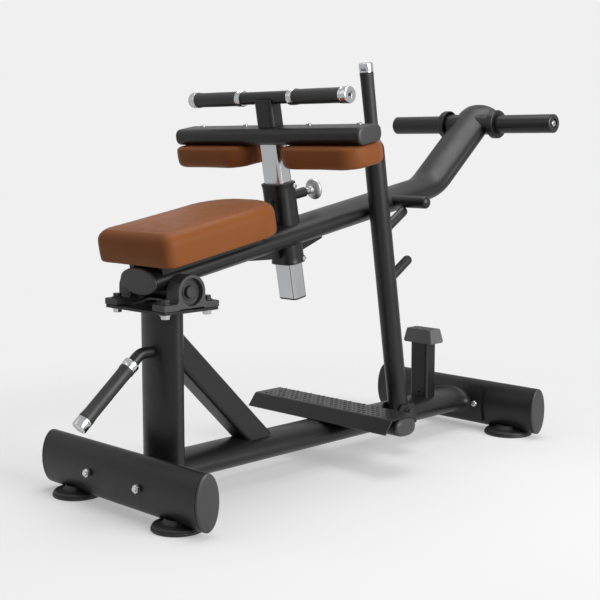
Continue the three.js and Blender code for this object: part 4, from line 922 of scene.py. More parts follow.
@dataclass
class Spine:
    """The main rail with its saddle plates, the rear upright and the diagonal brace."""

    width: float = 120.0
    height: float = 60.0
    centre_z: float = 72.0
    spacing: float = 1140.0
    saddle_half_width: float = 106.0
    saddle_half_height: float = 44.0
    saddle_thickness: float = 6.0
    base_depth: float = 60.3
    base_height: float = 120.3
    upright_y: float = 104.5
    upright_top: float = 419.2
    flare_length: float = 48.0
    brace_sum: float = 463.5
    brace_span: tuple[float, float] = (118.0, 378.0)
    brace_width: float = 62.0
    brace_depth: float = 58.0

    def saddle_surface(self, z: float) -> float:
        """Returns how far forward the saddle plate's outer face lies at a height."""
        grow = self.saddle_thickness
        return curve_height(z - self.centre_z, self.base_height / 2 + grow, self.base_depth / 2 + grow)

    def rail(self) -> None:
        """Builds the rail, which flares where it is welded to its saddle plates."""
        blank = Blank(PLACE.machine)
        reach = self.base_depth / 2 + self.saddle_thickness
        flare = [
            (0, 1.26), (1.5, 1.19), (4, 1.13), (9, 1.075),
            (17, 1.035), (30, 1.012), (self.flare_length, 1.0),
        ]
        near = [(reach + y, share) for y, share in flare]
        far = [(self.spacing - y, share) for y, share in reversed(near)]
        ring = blank.oval(self.width, self.height, sides=96)
        stops = [(-y, share) for y, share in near + far]
        blank.tapered(ring, Axis.Y, stops, at=(0, 0, self.centre_z))

        def follow_saddle(place: Vector) -> Vector:
            """Returns the place, drawn back where the saddle plate curves away."""
            from_end = min(place.y, self.spacing - place.y) - reach
            share = max(0.0, 1 - from_end / self.flare_length)
            back = (reach - self.saddle_surface(place.z)) * share
            return Vector((place.x, place.y - math.copysign(back, self.spacing / 2 - place.y), place.z))

        blank.shaped(follow_saddle)
        for end in (Matrix.Identity(4), shift(0, self.spacing, 0) @ Matrix.Rotation(math.pi, 4, "Z")):
            self.saddle(blank, end)
        blank.settle("main_rail_with_saddles", BLACK, Body.FRAME, "main_rail", angle=50)

    def saddle(self, blank: Blank, end: Matrix) -> None:
        """Adds a curved saddle plate.

        Args:
            blank: The blank that it joins.
            end: Where the plate's end of the rail lies.
        """
        before = blank.mark()
        bmesh.ops.create_grid(blank.mesh, x_segments=24, y_segments=24, size=1.0)

        def onto_tube(place: Vector) -> Vector:
            """Returns the flat grid's place on the base tube."""
            z = place.y * self.saddle_half_height
            y = curve_height(z, self.base_height / 2 + 0.2, self.base_depth / 2 + 0.2)
            return Vector((place.x * self.saddle_half_width, y, z + self.centre_z))

        blank.shaped(onto_tube, before)
        fresh = set(blank.since(before))
        faces = [face for face in blank.mesh.faces if fresh.issuperset(face.verts)]
        bmesh.ops.recalc_face_normals(blank.mesh, faces=faces)
        if sum(face.normal.y for face in faces) > 0:
            bmesh.ops.reverse_faces(blank.mesh, faces=faces)
        bmesh.ops.solidify(blank.mesh, geom=faces, thickness=self.saddle_thickness)
        blank.move(before, end)

    def upright(self) -> None:
        """Builds the upright, with its foot shaped to the rail."""
        blank = Blank(PLACE.machine)
        ring = blank.oval(self.width, self.height, sides=96)
        blank.straight(ring, Axis.Z, 60, 104, 112, self.upright_top, at=(0, self.upright_y, 0))

        def onto_rail(place: Vector) -> Vector:
            """Returns the place, with the foot drawn down round the rail."""
            if place.z > 108:
                return place
            surface = self.centre_z + curve_height(place.x, self.width / 2, self.height / 2)
            drop = 30 if place.z < 80 else 0
            return Vector((place.x, place.y, surface + 1.5 - drop))

        blank.shaped(onto_rail)
        blank.eased(0.6, angle=60).settle("rear_upright_tube", BLACK, Body.FRAME, "rear_upright")

    def brace(self) -> None:
        """Builds the diagonal brace between the upright and the rail."""
        blank = Blank(PLACE.machine)
        stations = [shift(0, y, self.brace_sum - y) @ turn_x(-135) for y in self.brace_span]
        blank.sweep(blank.rounded(self.brace_width, self.brace_depth, (10, 10), 8), stations)
        blank.settle("diagonal_brace_tube", BLACK, Body.FRAME, "diagonal_brace")

    def build(self) -> None:
        """Builds the spine."""
        self.rail()
        self.upright()
        self.brace()


@dataclass
class PivotMount:
    """The pivot plate, both pillow blocks, their bearings and bolts."""

    plate_width: float = 200.0
    plate_length: float = 150.0
    plate_bottom: float = 419.5
    plate_top: float = 425.5
    block_inner: float = 60.0
    block_outer: float = 100.0
    block_half_length: float = 74.0
    block_drop: float = 36.0
    foot_height: float = 14.0
    arch_radius: float = 36.0
    bore_radius: float = 28.8
    bolt_x: float = 80.0
    bolt_y: float = 56.0

    def plate(self) -> None:
        """Builds the plate on top of the upright."""
        blank = Blank(PLACE.machine)
        ring = blank.rounded(self.plate_width, self.plate_length, (8, 8))
        blank.straight(ring, Axis.Z, self.plate_bottom, self.plate_top, at=(0, PLACE.pivot_y, 0))
        blank.eased(0.9).settle("pivot_mounting_plate", BLACK, Body.FRAME, "pivot_plate")

    def block(self, side: str, sign: int) -> None:
        """Builds a cast pillow block.

        Args:
            side: The user's side that it is on.
            sign: 1 on the right, -1 on the left.
        """
        base = -self.block_drop
        shoulder = base + self.foot_height
        half = self.block_half_length
        arc = [math.radians(180 * i / 36) for i in range(37)]
        arch = [(self.arch_radius * math.cos(a), self.arch_radius * math.sin(a)) for a in arc]
        outline = [
            (half, base + 0.2), (half, shoulder - 2), (half - 2, shoulder),
            (42, shoulder), (38, shoulder + 1.2), (36.4, shoulder + 4),
            *arch,
            (-36.4, shoulder + 4), (-38, shoulder + 1.2), (-42, shoulder),
            (2 - half, shoulder), (-half, shoulder - 2), (-half, base + 0.2),
            (-34, base + 0.2), (-32, base + 3), (32, base + 3), (34, base + 0.2),
        ]
        blank = Blank(PLACE.pivot)
        blank.polygon(outline, Axis.X, self.block_inner, self.block_outer)
        bore = Blank(PLACE.pivot)
        bore.turned(rod(self.bore_radius, self.block_inner - 5, self.block_outer + 5), Axis.X)
        blank.carved(bore)
        if sign < 0:
            blank.shaped(lambda place: Vector((-place.x, place.y, place.z)))
        blank.eased(1.3, 3, 42).settle(f"{side}_block_casting", CAST, Body.FRAME, f"{side}_pillow_block")

    def bearing(self, side: str, sign: int) -> None:
        """Builds an insert bearing with a recessed seal and a proud inner ring.

        Args:
            side: The user's side that it is on.
            sign: 1 on the right, -1 on the left.
        """
        middle = sign * (self.block_inner + self.block_outer) / 2
        profile = [(13.2, -10), (17.4, -10), (17.8, -8), (24.5, -8), (24.9, -9.4), (28.4, -9.4)]
        closed = profile + [(r, -x) for r, x in reversed(profile)] + [profile[0]]
        blank = Blank(PLACE.pivot)
        blank.turned(closed, Axis.X, at=(middle, 0, 0), steps=64)
        blank.eased(0.6, 2).settle(f"{side}_bearing_insert", BLACKENED, Body.FRAME, f"{side}_bearing")

    def bolt(self, side: str, sign: int, end: str, along: float) -> None:
        """Builds a block bolt: dark head and washer above, bright nut below the plate.

        Args:
            side: The user's side that it is on.
            sign: 1 on the right, -1 on the left.
            end: Which end of the block it holds.
            along: Its distance forward of the shaft.
        """
        at = (sign * self.bolt_x, PLACE.pivot_y + along, 0)
        top = self.plate_top + 0.3 + self.foot_height
        head = Blank(PLACE.machine)
        head.turned(pipe(12.0, 6.0, top + 0.1, top + 2.6), Axis.Z, at=at)
        head.hexagon(9.8, top + 2.6, top + 10, Axis.Z, at=at)
        head.eased(0.6).settle(f"{side}_{end}_bolt_head", BLACKENED, Body.FRAME)
        nut = Blank(PLACE.machine)
        nut.turned(pipe(12.5, 5.6, self.plate_bottom - 2.6, self.plate_bottom - 0.2), Axis.Z, at=at)
        nut.hexagon(10, self.plate_bottom - 10.4, self.plate_bottom - 2.6, Axis.Z, at=at)
        nut.turned(rod(5.4, self.plate_bottom - 11, top + 1), Axis.Z, at=at, steps=24)
        nut.eased(0.7).settle(f"{side}_{end}_bolt_nut", ZINC, Body.FRAME, f"{side}_{end}_block_bolt")

    def build(self) -> None:
        """Builds the pivot mount."""
        self.plate()
        for side, sign in SIDES:
            self.block(side, sign)
            self.bearing(side, sign)
            self.bolt(side, sign, "rear", -self.bolt_y)
            self.bolt(side, sign, "front", self.bolt_y)


@dataclass
class GrabBar:
    """The rear bar used to tip and roll the machine."""

    radius: float = 12.5
    bend_radius: float = 30.0
    rim: float = 17.0
    collar_start: float = 27.0
    collar_end: float = 45.0
    grip_start: float = 45.3
    grip_end: float = 185.3
    cap_start: float = 185.6

    def bar(self) -> None:
        """Builds the bent bar out of the upright."""
        tangent = self.bend_radius * math.tan(math.radians(PLACE.grab_drop) / 2)
        centre_y = PLACE.grab_y + tangent
        centre_z = PLACE.grab_z - self.bend_radius
        stations = [shift(0, 90, PLACE.grab_z) @ turn_x(90)]
        for i in range(13):
            angle = PLACE.grab_drop * i / 12
            y = centre_y - self.bend_radius * math.sin(math.radians(angle))
            z = centre_z + self.bend_radius * math.cos(math.radians(angle))
            stations.append(shift(0, y, z) @ turn_x(90 + angle))
        stations.append(PLACE.machine.inverted() @ PLACE.grab_bar @ shift(0, 0, self.cap_start + 10))
        blank = Blank(PLACE.machine)
        blank.sweep(blank.oval(2 * self.radius, 2 * self.radius, sides=40), stations)
        blank.settle("grab_bar_tube", BLACK, Body.FRAME, "grab_bar")

    def fittings(self) -> None:
        """Builds the chrome collar, the grip and the chrome end cap."""
        start, end = self.collar_start, self.collar_end
        collar = Blank(PLACE.grab_bar)
        collar.turned([
            (self.radius, start), (16.6, start), (17.6, 29), (17.6, 38), (16.4, 40), (17.2, 42),
            (17.2, end), (self.radius, end), (self.radius, start),
        ], Axis.Z)
        collar.eased(0.7).settle("grab_bar_bright_collar", CHROME, Body.FRAME)
        inner, rim = self.radius + 0.1, self.rim
        start, end = self.grip_start, self.grip_end
        grip = Blank(PLACE.grab_bar)
        grip.turned([
            (inner, start), (16.6, start), (rim, 47), (rim, 51), (15.9, 54), (15.7, 70), (15.7, 168),
            (16.3, 176), (rim, 180), (rim, 184), (16.4, end), (inner, end), (inner, start),
        ], Axis.Z)
        grip.settle("grab_bar_rubber_grip", GRIP, Body.FRAME, "grab_bar_grip")
        cap = Blank(PLACE.grab_bar)
        start = self.cap_start
        cap.turned([
            (inner, start), (rim, start), (rim, 188.4), (16.2, 189.2), (rim, 190.2), (rim, 204.6),
            (15.4, 207.2), (11.8, 207.4), (11.2, 206.2), (9.4, 206.0), (0, 206.0), (0, 201),
            (inner, 200.6), (inner, start),
        ], Axis.Z)
        cap.settle("grab_bar_bright_cap", CHROME, Body.FRAME, "grab_bar_cap")

    def build(self) -> None:
        """Builds the grab bar."""
        self.bar()
        self.fittings()


@dataclass
class Footplate:
    """The bent tread plate on its cross tube, with its pattern of raised lips."""

    width: float = 458.0
    sheet: float = 4.0
    front_y: float = 592.0
    tread: float = 86.0
    lip_run: float = 24.0
    lip_drop: float = 30.0
    top_z: float = 134.0
    tube_y: float = 637.0
    tube_z: float = 110.0
    tube_oval: tuple[float, float, float] = (70.0, 42.0, 2.6)
    bend_radius: float = 8.0
    pitch: float = 15.0
    rows: int = 5

    def plate(self) -> None:
        """Builds the tread and its sloping lip."""
        angle = math.atan2(self.lip_drop, self.lip_run)
        radius = self.bend_radius
        tangent = radius * math.tan(angle / 2)
        middle = self.top_z - self.sheet / 2
        bend = Vector((0, self.front_y + tangent, middle - radius))
        stations = [shift(0, self.front_y + self.tread, middle) @ turn_x(90)]
        for i in range(9):
            part = angle * i / 8
            spot = bend + Vector((0, -radius * math.sin(part), radius * math.cos(part)))
            stations.append(Matrix.Translation(spot) @ turn_x(90 + math.degrees(part)))
        slope = turn_x(90 + math.degrees(angle))
        stations.append(shift(0, self.front_y - self.lip_run, middle - self.lip_drop) @ slope)
        blank = Blank(PLACE.machine)
        blank.sweep(blank.rounded(self.width, self.sheet, (0.9, 0.9), 2), stations)
        blank.eased(0.5).settle("footplate_tread", BLACK, Body.FRAME, "footplate")

    def tube(self) -> None:
        """Builds the cross tube and its bowed end caps."""
        half = self.width / 2 - 3
        blank = Blank(PLACE.machine)
        at = (0, self.tube_y, self.tube_z)
        blank.straight(blank.oval(*self.tube_oval), Axis.X, -half, half, at=at)
        blank.eased(0.5).settle("footplate_cross_tube", BLACK, Body.FRAME)
        caps = Blank(PLACE.machine)
        bow = [(0.2, 0.96), (0.9, 0.985), (4, 0.985), (6.5, 0.95), (8.4, 0.87), (9.6, 0.72), (10, 0.45)]
        stops = [(half + out, share) for out, share in bow]
        caps.tapered(caps.oval(*self.tube_oval), Axis.X, stops, at=at)
        caps.mirrored()
        caps.settle("footplate_tube_end_caps", PLASTIC, Body.FRAME)

    def lips(self) -> None:
        """Builds the pressed grip pattern: short lips in turned rows with studs between them."""
        blank = Blank(PLACE.machine)
        columns = int(self.width / self.pitch) - 2
        depth = (self.tread - 18) / (self.rows - 1)
        for row in range(self.rows):
            for column in range(columns):
                x = (column - (columns - 1) / 2) * self.pitch
                y = self.front_y + 14 + row * depth
                kind = (row + column) % 3
                before = blank.mark()
                if kind == 2:
                    blank.turned([(0, 0.9), (1.0, 0.9), (1.9, 0)], Axis.Z, steps=8)
                else:
                    bmesh.ops.create_cube(blank.mesh, size=1.0)
                    blank.move(before, Matrix.Diagonal((8.6, 2.3, 1.6, 1)))
                    if kind == 1:
                        blank.move(before, Matrix.Rotation(math.pi / 2, 4, "Z"))
                blank.move(before, shift(x, y, self.top_z + 0.1))
        blank.settle("footplate_grip_pattern", DARK_PLASTIC, Body.FRAME)

    def build(self) -> None:
        """Builds the footplate."""
        self.plate()
        self.tube()
        self.lips()


@dataclass
class BumperStand:
    """The post on the rail and the rubber block that the lever comes down on."""

    centre_y: float = 988.0
    post_width: float = 56.0
    post_depth: float = 40.0
    post_top: float = 244.0
    block_width: float = 96.0
    block_depth: float = 52.0
    block_height: float = 38.0

    def post(self) -> None:
        """Builds the post and its drain hole."""
        blank = Blank(PLACE.machine)
        ring = blank.rounded(self.post_width, self.post_depth, (8, 8), 8)
        blank.straight(ring, Axis.Z, 96, self.post_top, at=(0, self.centre_y, 0))
        hole = Blank(PLACE.machine)
        hole.turned(rod(2.6, -self.centre_y - 5, -self.centre_y + 24), Axis.Y, at=(4, 0, 113), steps=24)
        blank.carved(hole).eased(0.5).settle("bumper_post_tube", BLACK, Body.FRAME, "bumper_post")

    def block(self) -> None:
        """Builds the tapered block with its stepped skirt and studded top."""
        low = self.post_top + 0.3
        blank = Blank(PLACE.machine)
        stops = [
            (0, 0.955), (2.4, 0.97), (2.6, 1.0), (7, 0.99),
            (self.block_height - 4, 0.85), (self.block_height - 1.5, 0.83),
        ]
        ring = blank.rounded(self.block_width, self.block_depth, (5, 5), 5)
        blank.tapered(ring, Axis.Z, stops, at=(0, self.centre_y, low))
        blank.eased(0.8, 2, 55)
        for column in range(5):
            for row in range(3):
                place = (-26 + 13 * column, self.centre_y - 11 + 11 * row, low + self.block_height - 2)
                if (column + row) % 2:
                    blank.block((8, 5.5, 3.2), place)
                else:
                    blank.block((5.5, 8, 2.4), place)
        blank.settle("bumper_rubber_block", BUMPER, Body.FRAME, "bumper_block")

    def build(self) -> None:
        """Builds the bumper stand."""
        self.post()
        self.block()


@dataclass
class CatchBracket:
    """The bracket beside the rail that the safety bar turns in."""

    ear: float = 5.0
    gap: float = 26.0
    rise: float = 20.0
    drop: float = 31.0
    half_length: float = 34.0

    def bracket(self) -> None:
        """Builds the bracket: a floor strip between two rounded ears."""
        blank = Blank(PLACE.machine)
        half = self.half_length
        low = PLACE.bar_z - self.drop
        top = PLACE.bar_z + self.rise
        outline = [
            (-half, low), (half, low), (half, PLACE.bar_z + 4),
            (half - 12, top), (12 - half, top), (-half, PLACE.bar_z + 4),
        ]
        for start in (PLACE.bar_x - self.gap - self.ear, PLACE.bar_x + self.gap):
            before = blank.mark()
            blank.polygon(outline, Axis.X, start, start + self.ear)
            blank.move(before, shift(0, PLACE.bar_y, 0))
        blank.block((60, 2 * half, 5), (PLACE.bar_x - 0.5, PLACE.bar_y, low + 2.5))
        blank.eased(0.9).settle("catch_bracket_plates", BLACK, Body.FRAME, "catch_bracket")

    def bolt(self) -> None:
        """Builds the bar's pivot bolt."""
        at = (PLACE.bar_x, PLACE.bar_y, PLACE.bar_z)
        reach = self.gap + self.ear
        blank = Blank(PLACE.machine)
        blank.turned(rod(5.8, -reach - 12, reach + 12), Axis.X, at=at, steps=32)
        for side in (1, -1):
            low, high = sorted((side * (reach + 0.3), side * (reach + 2.8)))
            blank.turned(pipe(12, 5.8, low, high), Axis.X, at=at)
            low, high = sorted((side * (reach + 2.8), side * (reach + 10.6)))
            blank.hexagon(10, low, high, Axis.X, at=at)
        blank.eased(0.6).settle("catch_pivot_bolt_set", PHOSPHATE, Body.FRAME, "catch_pivot_bolt")

    def build(self) -> None:
        """Builds the catch bracket."""
        self.bracket()
        self.bolt()


@dataclass
class Lever:
    """The bent lever with its pivot, stop pin and end caps."""

    width: float = 120.0
    height: float = 59.0
    overhang: float = 54.0
    straight: float = 925.0
    rise_angle: float = 30.0
    rise_radius: float = 125.0
    rise_length: float = 242.0
    nose_angle: float = 18.0
    nose_radius: float = 72.0
    nose_length: float = 4.0
    horn_back: float = 21.0
    sleeve_radius: float = 23.0
    sleeve_half: float = 54.0
    pin_along: float = 716.0
    pin_up: float = 35.0
    pin_radius: float = 15.0

    def stations(self) -> list[Matrix]:
        """Returns where the tube's outline lies along its bent path."""
        y, z, angle = -self.overhang, self.height / 2, 0.0
        stops = [(y, z, angle)]

        def go(length: float, turn: float, radius: float, steps: int) -> None:
            """Walks a line, or an arc where turn isn't zero."""
            nonlocal y, z, angle
            for _ in range(steps):
                part = math.radians(turn) / steps
                step = 2 * radius * math.sin(abs(part) / 2) if turn else length / steps
                y += step * math.cos(angle + part / 2)
                z += step * math.sin(angle + part / 2)
                angle += part
                stops.append((y, z, angle))

        go(self.straight, 0, 0, 1)
        go(0, self.rise_angle, self.rise_radius, 16)
        go(self.rise_length, 0, 0, 1)
        go(0, -self.nose_angle, self.nose_radius, 12)
        go(self.nose_length, 0, 0, 1)
        return [shift(0, y, z) @ turn_x(90 + math.degrees(a)) for y, z, a in stops]

    def horn_centre(self) -> Vector:
        """Returns where the weight horns' axis crosses the lever."""
        stop = self.stations()[-14]
        ahead = stop.to_3x3() @ Vector((0, 0, 1))
        return stop.translation + ahead * self.horn_back

    def arm(self) -> None:
        """Builds the lever tube with its eased ends and the pivot sleeve under it."""
        blank = Blank(PLACE.lever)
        stations = self.stations()
        blank.sweep(blank.oval(self.width, self.height, sides=96), stations)
        blank.eased(1.6, 3)
        blank.turned(rod(self.sleeve_radius, -self.sleeve_half, self.sleeve_half), Axis.X, steps=64)
        blank.settle("lever_arm_tube", BLACK, Body.LEVER, "lever_arm")

    def rear_cap(self) -> None:
        """Builds the moulded cap in the lever's rear end."""
        blank = Blank(PLACE.lever)
        stops = [(0.2, 0.96), (0.8, 0.985), (3.4, 0.985), (4.8, 0.955), (5.4, 0.9), (5.8, 0.6)]
        ring = blank.oval(self.width, self.height, sides=96)
        blank.tapered(ring, Axis.Y, stops, at=(0, -self.overhang, self.height / 2))
        blank.settle("lever_rear_cap", PLASTIC, Body.LEVER)

    def shaft(self) -> None:
        """Builds the pivot shaft with chamfered ends."""
        half = [(0, 97.9), (11.4, 97.9), (12.4, 96.9), (12.4, 0)]
        blank = Blank(PLACE.lever)
        blank.turned(half + facing(half[-2::-1], -1), Axis.X)
        blank.eased(0.3).settle("pivot_shaft_bar", BLACKENED, Body.LEVER, "pivot_shaft")

    def stop(self) -> None:
        """Builds the stop pin that rests on the catch peg."""
        blank = Blank(PLACE.lever)
        blank.turned(dome(self.pin_radius, 40, 158, 9), Axis.X, at=(0, self.pin_along, self.pin_up))
        blank.settle("stop_pin_rod", BLACK, Body.LEVER, "stop_pin")

    def build(self) -> None:
        """Builds the lever."""
        self.arm()
        self.rear_cap()
        self.shaft()
        self.stop()


@dataclass
class WeightHorns:
    """The horn tube through the lever's nose, with its liner, collars and caps."""

    centre: Vector
    radius: float = 24.0
    half_span: float = 261.0
    liner_radius: float = 27.2
    collar_radius: float = 37.4
    collar_start: float = 72.0
    collar_end: float = 90.0

    def tube(self) -> None:
        """Builds the horn tube."""
        blank = Blank(PLACE.lever)
        half = self.half_span - 4.8
        blank.turned(rod(self.radius, -half, half), Axis.X, at=self.centre, steps=64)
        blank.settle("weight_horn_bar", BLACK, Body.LEVER, "weight_horn_tube")

    def hub(self) -> None:
        """Builds the liner through the lever and the cupped collars that stop the plates."""
        blank = Blank(PLACE.lever)
        start, end = self.collar_start, self.collar_end
        rim = self.collar_radius
        blank.turned([
            (0, 20), (self.liner_radius, 20), (self.liner_radius, end - 4.4), (rim - 4.4, end - 4.4),
            (rim - 4.0, start + 1), (rim - 3.2, start), (rim - 1.2, start + 0.3), (rim, start + 1.8),
            (rim, end - 4), (rim - 1.0, end - 1.4), (rim - 3.6, end), (25.6, end), (24.1, end - 1),
            (0, end - 1),
        ], Axis.X, at=self.centre, steps=64)
        blank.mirrored()
        blank.settle("weight_horn_collars", BLACK, Body.LEVER, "weight_horn_hub")

    def cap(self, side: str, sign: int) -> None:
        """Builds a horn's end cap with its recessed bright bolt.

        Args:
            side: The user's side that it is on.
            sign: 1 on the right, -1 on the left.
        """
        start = self.half_span - 4.6
        end = self.half_span
        rim = self.radius
        profile = [
            (0, start), (23.6, start), (rim, start + 0.8), (rim, end - 2.2), (22.2, end - 0.4),
            (19.5, end), (13.4, end), (12.4, end - 0.8), (11.8, end - 3.6), (0, end - 3.6),
        ]
        head = [
            (0, end - 4), (7.6, end - 4), (7.6, end - 1.6), (6.4, end - 0.8),
            (3.6, end - 0.8), (3.4, end - 2.6), (0, end - 2.6),
        ]
        blank = Blank(PLACE.lever)
        blank.turned(facing(profile, sign), Axis.X, at=self.centre, steps=64)
        blank.settle(f"{side}_horn_cap", DARK_PLASTIC, Body.LEVER, f"{side}_horn_end_cap")
        bolt = Blank(PLACE.lever)
        bolt.turned(facing(head, sign), Axis.X, at=self.centre, steps=32)
        bolt.settle(f"{side}_horn_cap_bolt", ZINC, Body.LEVER)

    def build(self) -> None:
        """Builds the weight horns."""
        self.tube()
        self.hub()
        for side, sign in SIDES:
            self.cap(side, sign)


@dataclass
class PostSleeve:
    """The sleeve through the lever that guides the post, its gussets, screws and pop-pin."""

    along: float = 377.5
    width: float = 78.0
    depth: float = 59.0
    corner: float = 22.0
    waist: float = 0.955
    bore_width: float = 59.0
    bore_depth: float = 43.0
    bore_corner: float = 8.5
    bottom: float = -38.5
    top: float = 150.0
    pin_up: float = 111.5
    pin_tip: float = 21.6
    barrel_end: float = 81.0
    knob_centre: float = 113.0
    knob_radius: float = 25.0
    knob_half_length: float = 10.5

    def sleeve(self) -> None:
        """Builds the sleeve with a lip at each end, its two gussets and the plug behind it."""
        blank = Blank(PLACE.lever)
        ends = [(0, 0.985), (1.2, 1.0), (3.5, 0.998), (6, 0.98), (10, 0.962), (16, self.waist)]
        lower = [(self.bottom + up, share) for up, share in ends]
        upper = [(self.top - down, share) for down, share in reversed(ends)]
        at = (0, self.along, 0)
        ring = blank.rounded(self.width, self.depth, (self.corner, self.corner), 10)
        blank.tapered(ring, Axis.Z, lower + upper, at=at)
        bore = Blank(PLACE.lever)
        ring = bore.rounded(self.bore_width, self.bore_depth, (self.bore_corner, self.bore_corner))
        bore.straight(ring, Axis.Z, self.bottom - 5, self.top + 5, at=at)
        blank.carved(bore).eased(0.7, 2, 50)
        face = self.depth / 2 - 2
        rear = [(face, 6), (face + 117.5, 6), (face + 118.5, 0), (face + 36, -17), (face, -24)]
        front = [(face, 6), (face + 89.5, 6), (face + 89.5, -8), (face, -24)]
        for sign, outline in ((-1, rear), (1, front)):
            before = blank.mark()
            blank.polygon([(sign * y, z) for y, z in outline], Axis.X, -4, 4)
            blank.move(before, shift(*at))
        rear_face = self.depth / 2 * self.waist
        plug = dome(8.5, rear_face - 1, rear_face + 2, 1.2, 4)
        blank.turned(plug, Axis.Y, at=(0, self.along, self.pin_up - 2))
        blank.settle("post_sleeve_weldment", BLACK, Body.LEVER, "post_sleeve")

    def barrel(self) -> None:
        """Builds the pop-pin's barrel."""
        blank = Blank(PLACE.lever)
        blank.turned(pipe(11.4, 5.6, -24, -self.barrel_end), Axis.Y, at=(0, self.along, self.pin_up))
        blank.eased(0.6).settle("pop_pin_barrel", BLACK, Body.LEVER)

    def screws(self) -> None:
        """Builds the two bright set screws on the sleeve's right flank."""
        blank = Blank(PLACE.lever)
        head = [(0, -1), (6.4, -1), (6.4, 2.6), (5.2, 4.2), (3.2, 4.4), (3.0, 2.2), (0, 2.2)]
        for up in (self.top - 10, self.bottom + 10):
            blank.turned(head, Axis.X, at=(self.width / 2, self.along + 12, up), steps=32)
        blank.settle("sleeve_set_screws", ZINC, Body.LEVER)

    def pin(self) -> None:
        """Builds the pop-pin with its bright neck and its flattened round knob."""
        tip = self.pin_tip
        neck = self.barrel_end + 0.3
        at = (0, self.along, self.pin_up)
        shank = Blank(PLACE.lever)
        shank.turned([
            (0, -tip), (4.2, -tip), (4.9, -tip - 1), (4.9, -neck), (8.4, -neck),
            (8.4, -neck - 12), (7.4, -neck - 13), (7.4, -neck - 26), (0, -neck - 26),
        ], Axis.Y, at=at)
        shank.eased(0.4).settle("pop_pin_shank", CHROME, Body.PIN, "pop_pin")
        knob = Blank(PLACE.lever)
        arc = [math.radians(-70 + 160 * i / 24) for i in range(25)]
        profile = [
            (self.knob_radius * math.cos(a), -self.knob_centre - self.knob_half_length * math.sin(a))
            for a in arc
        ]
        collar = [(0, -neck - 14), (9.4, -neck - 14), (9.4, -neck - 22)]
        knob.turned([*collar, *profile[:-1], (0, profile[-1][1])], Axis.Y, at=at, steps=64)
        knob.settle("pop_pin_round_knob", KNOB, Body.PIN)

    def build(self) -> None:
        """Builds the sleeve and its pop-pin."""
        self.sleeve()
        self.barrel()
        self.screws()
        self.pin()


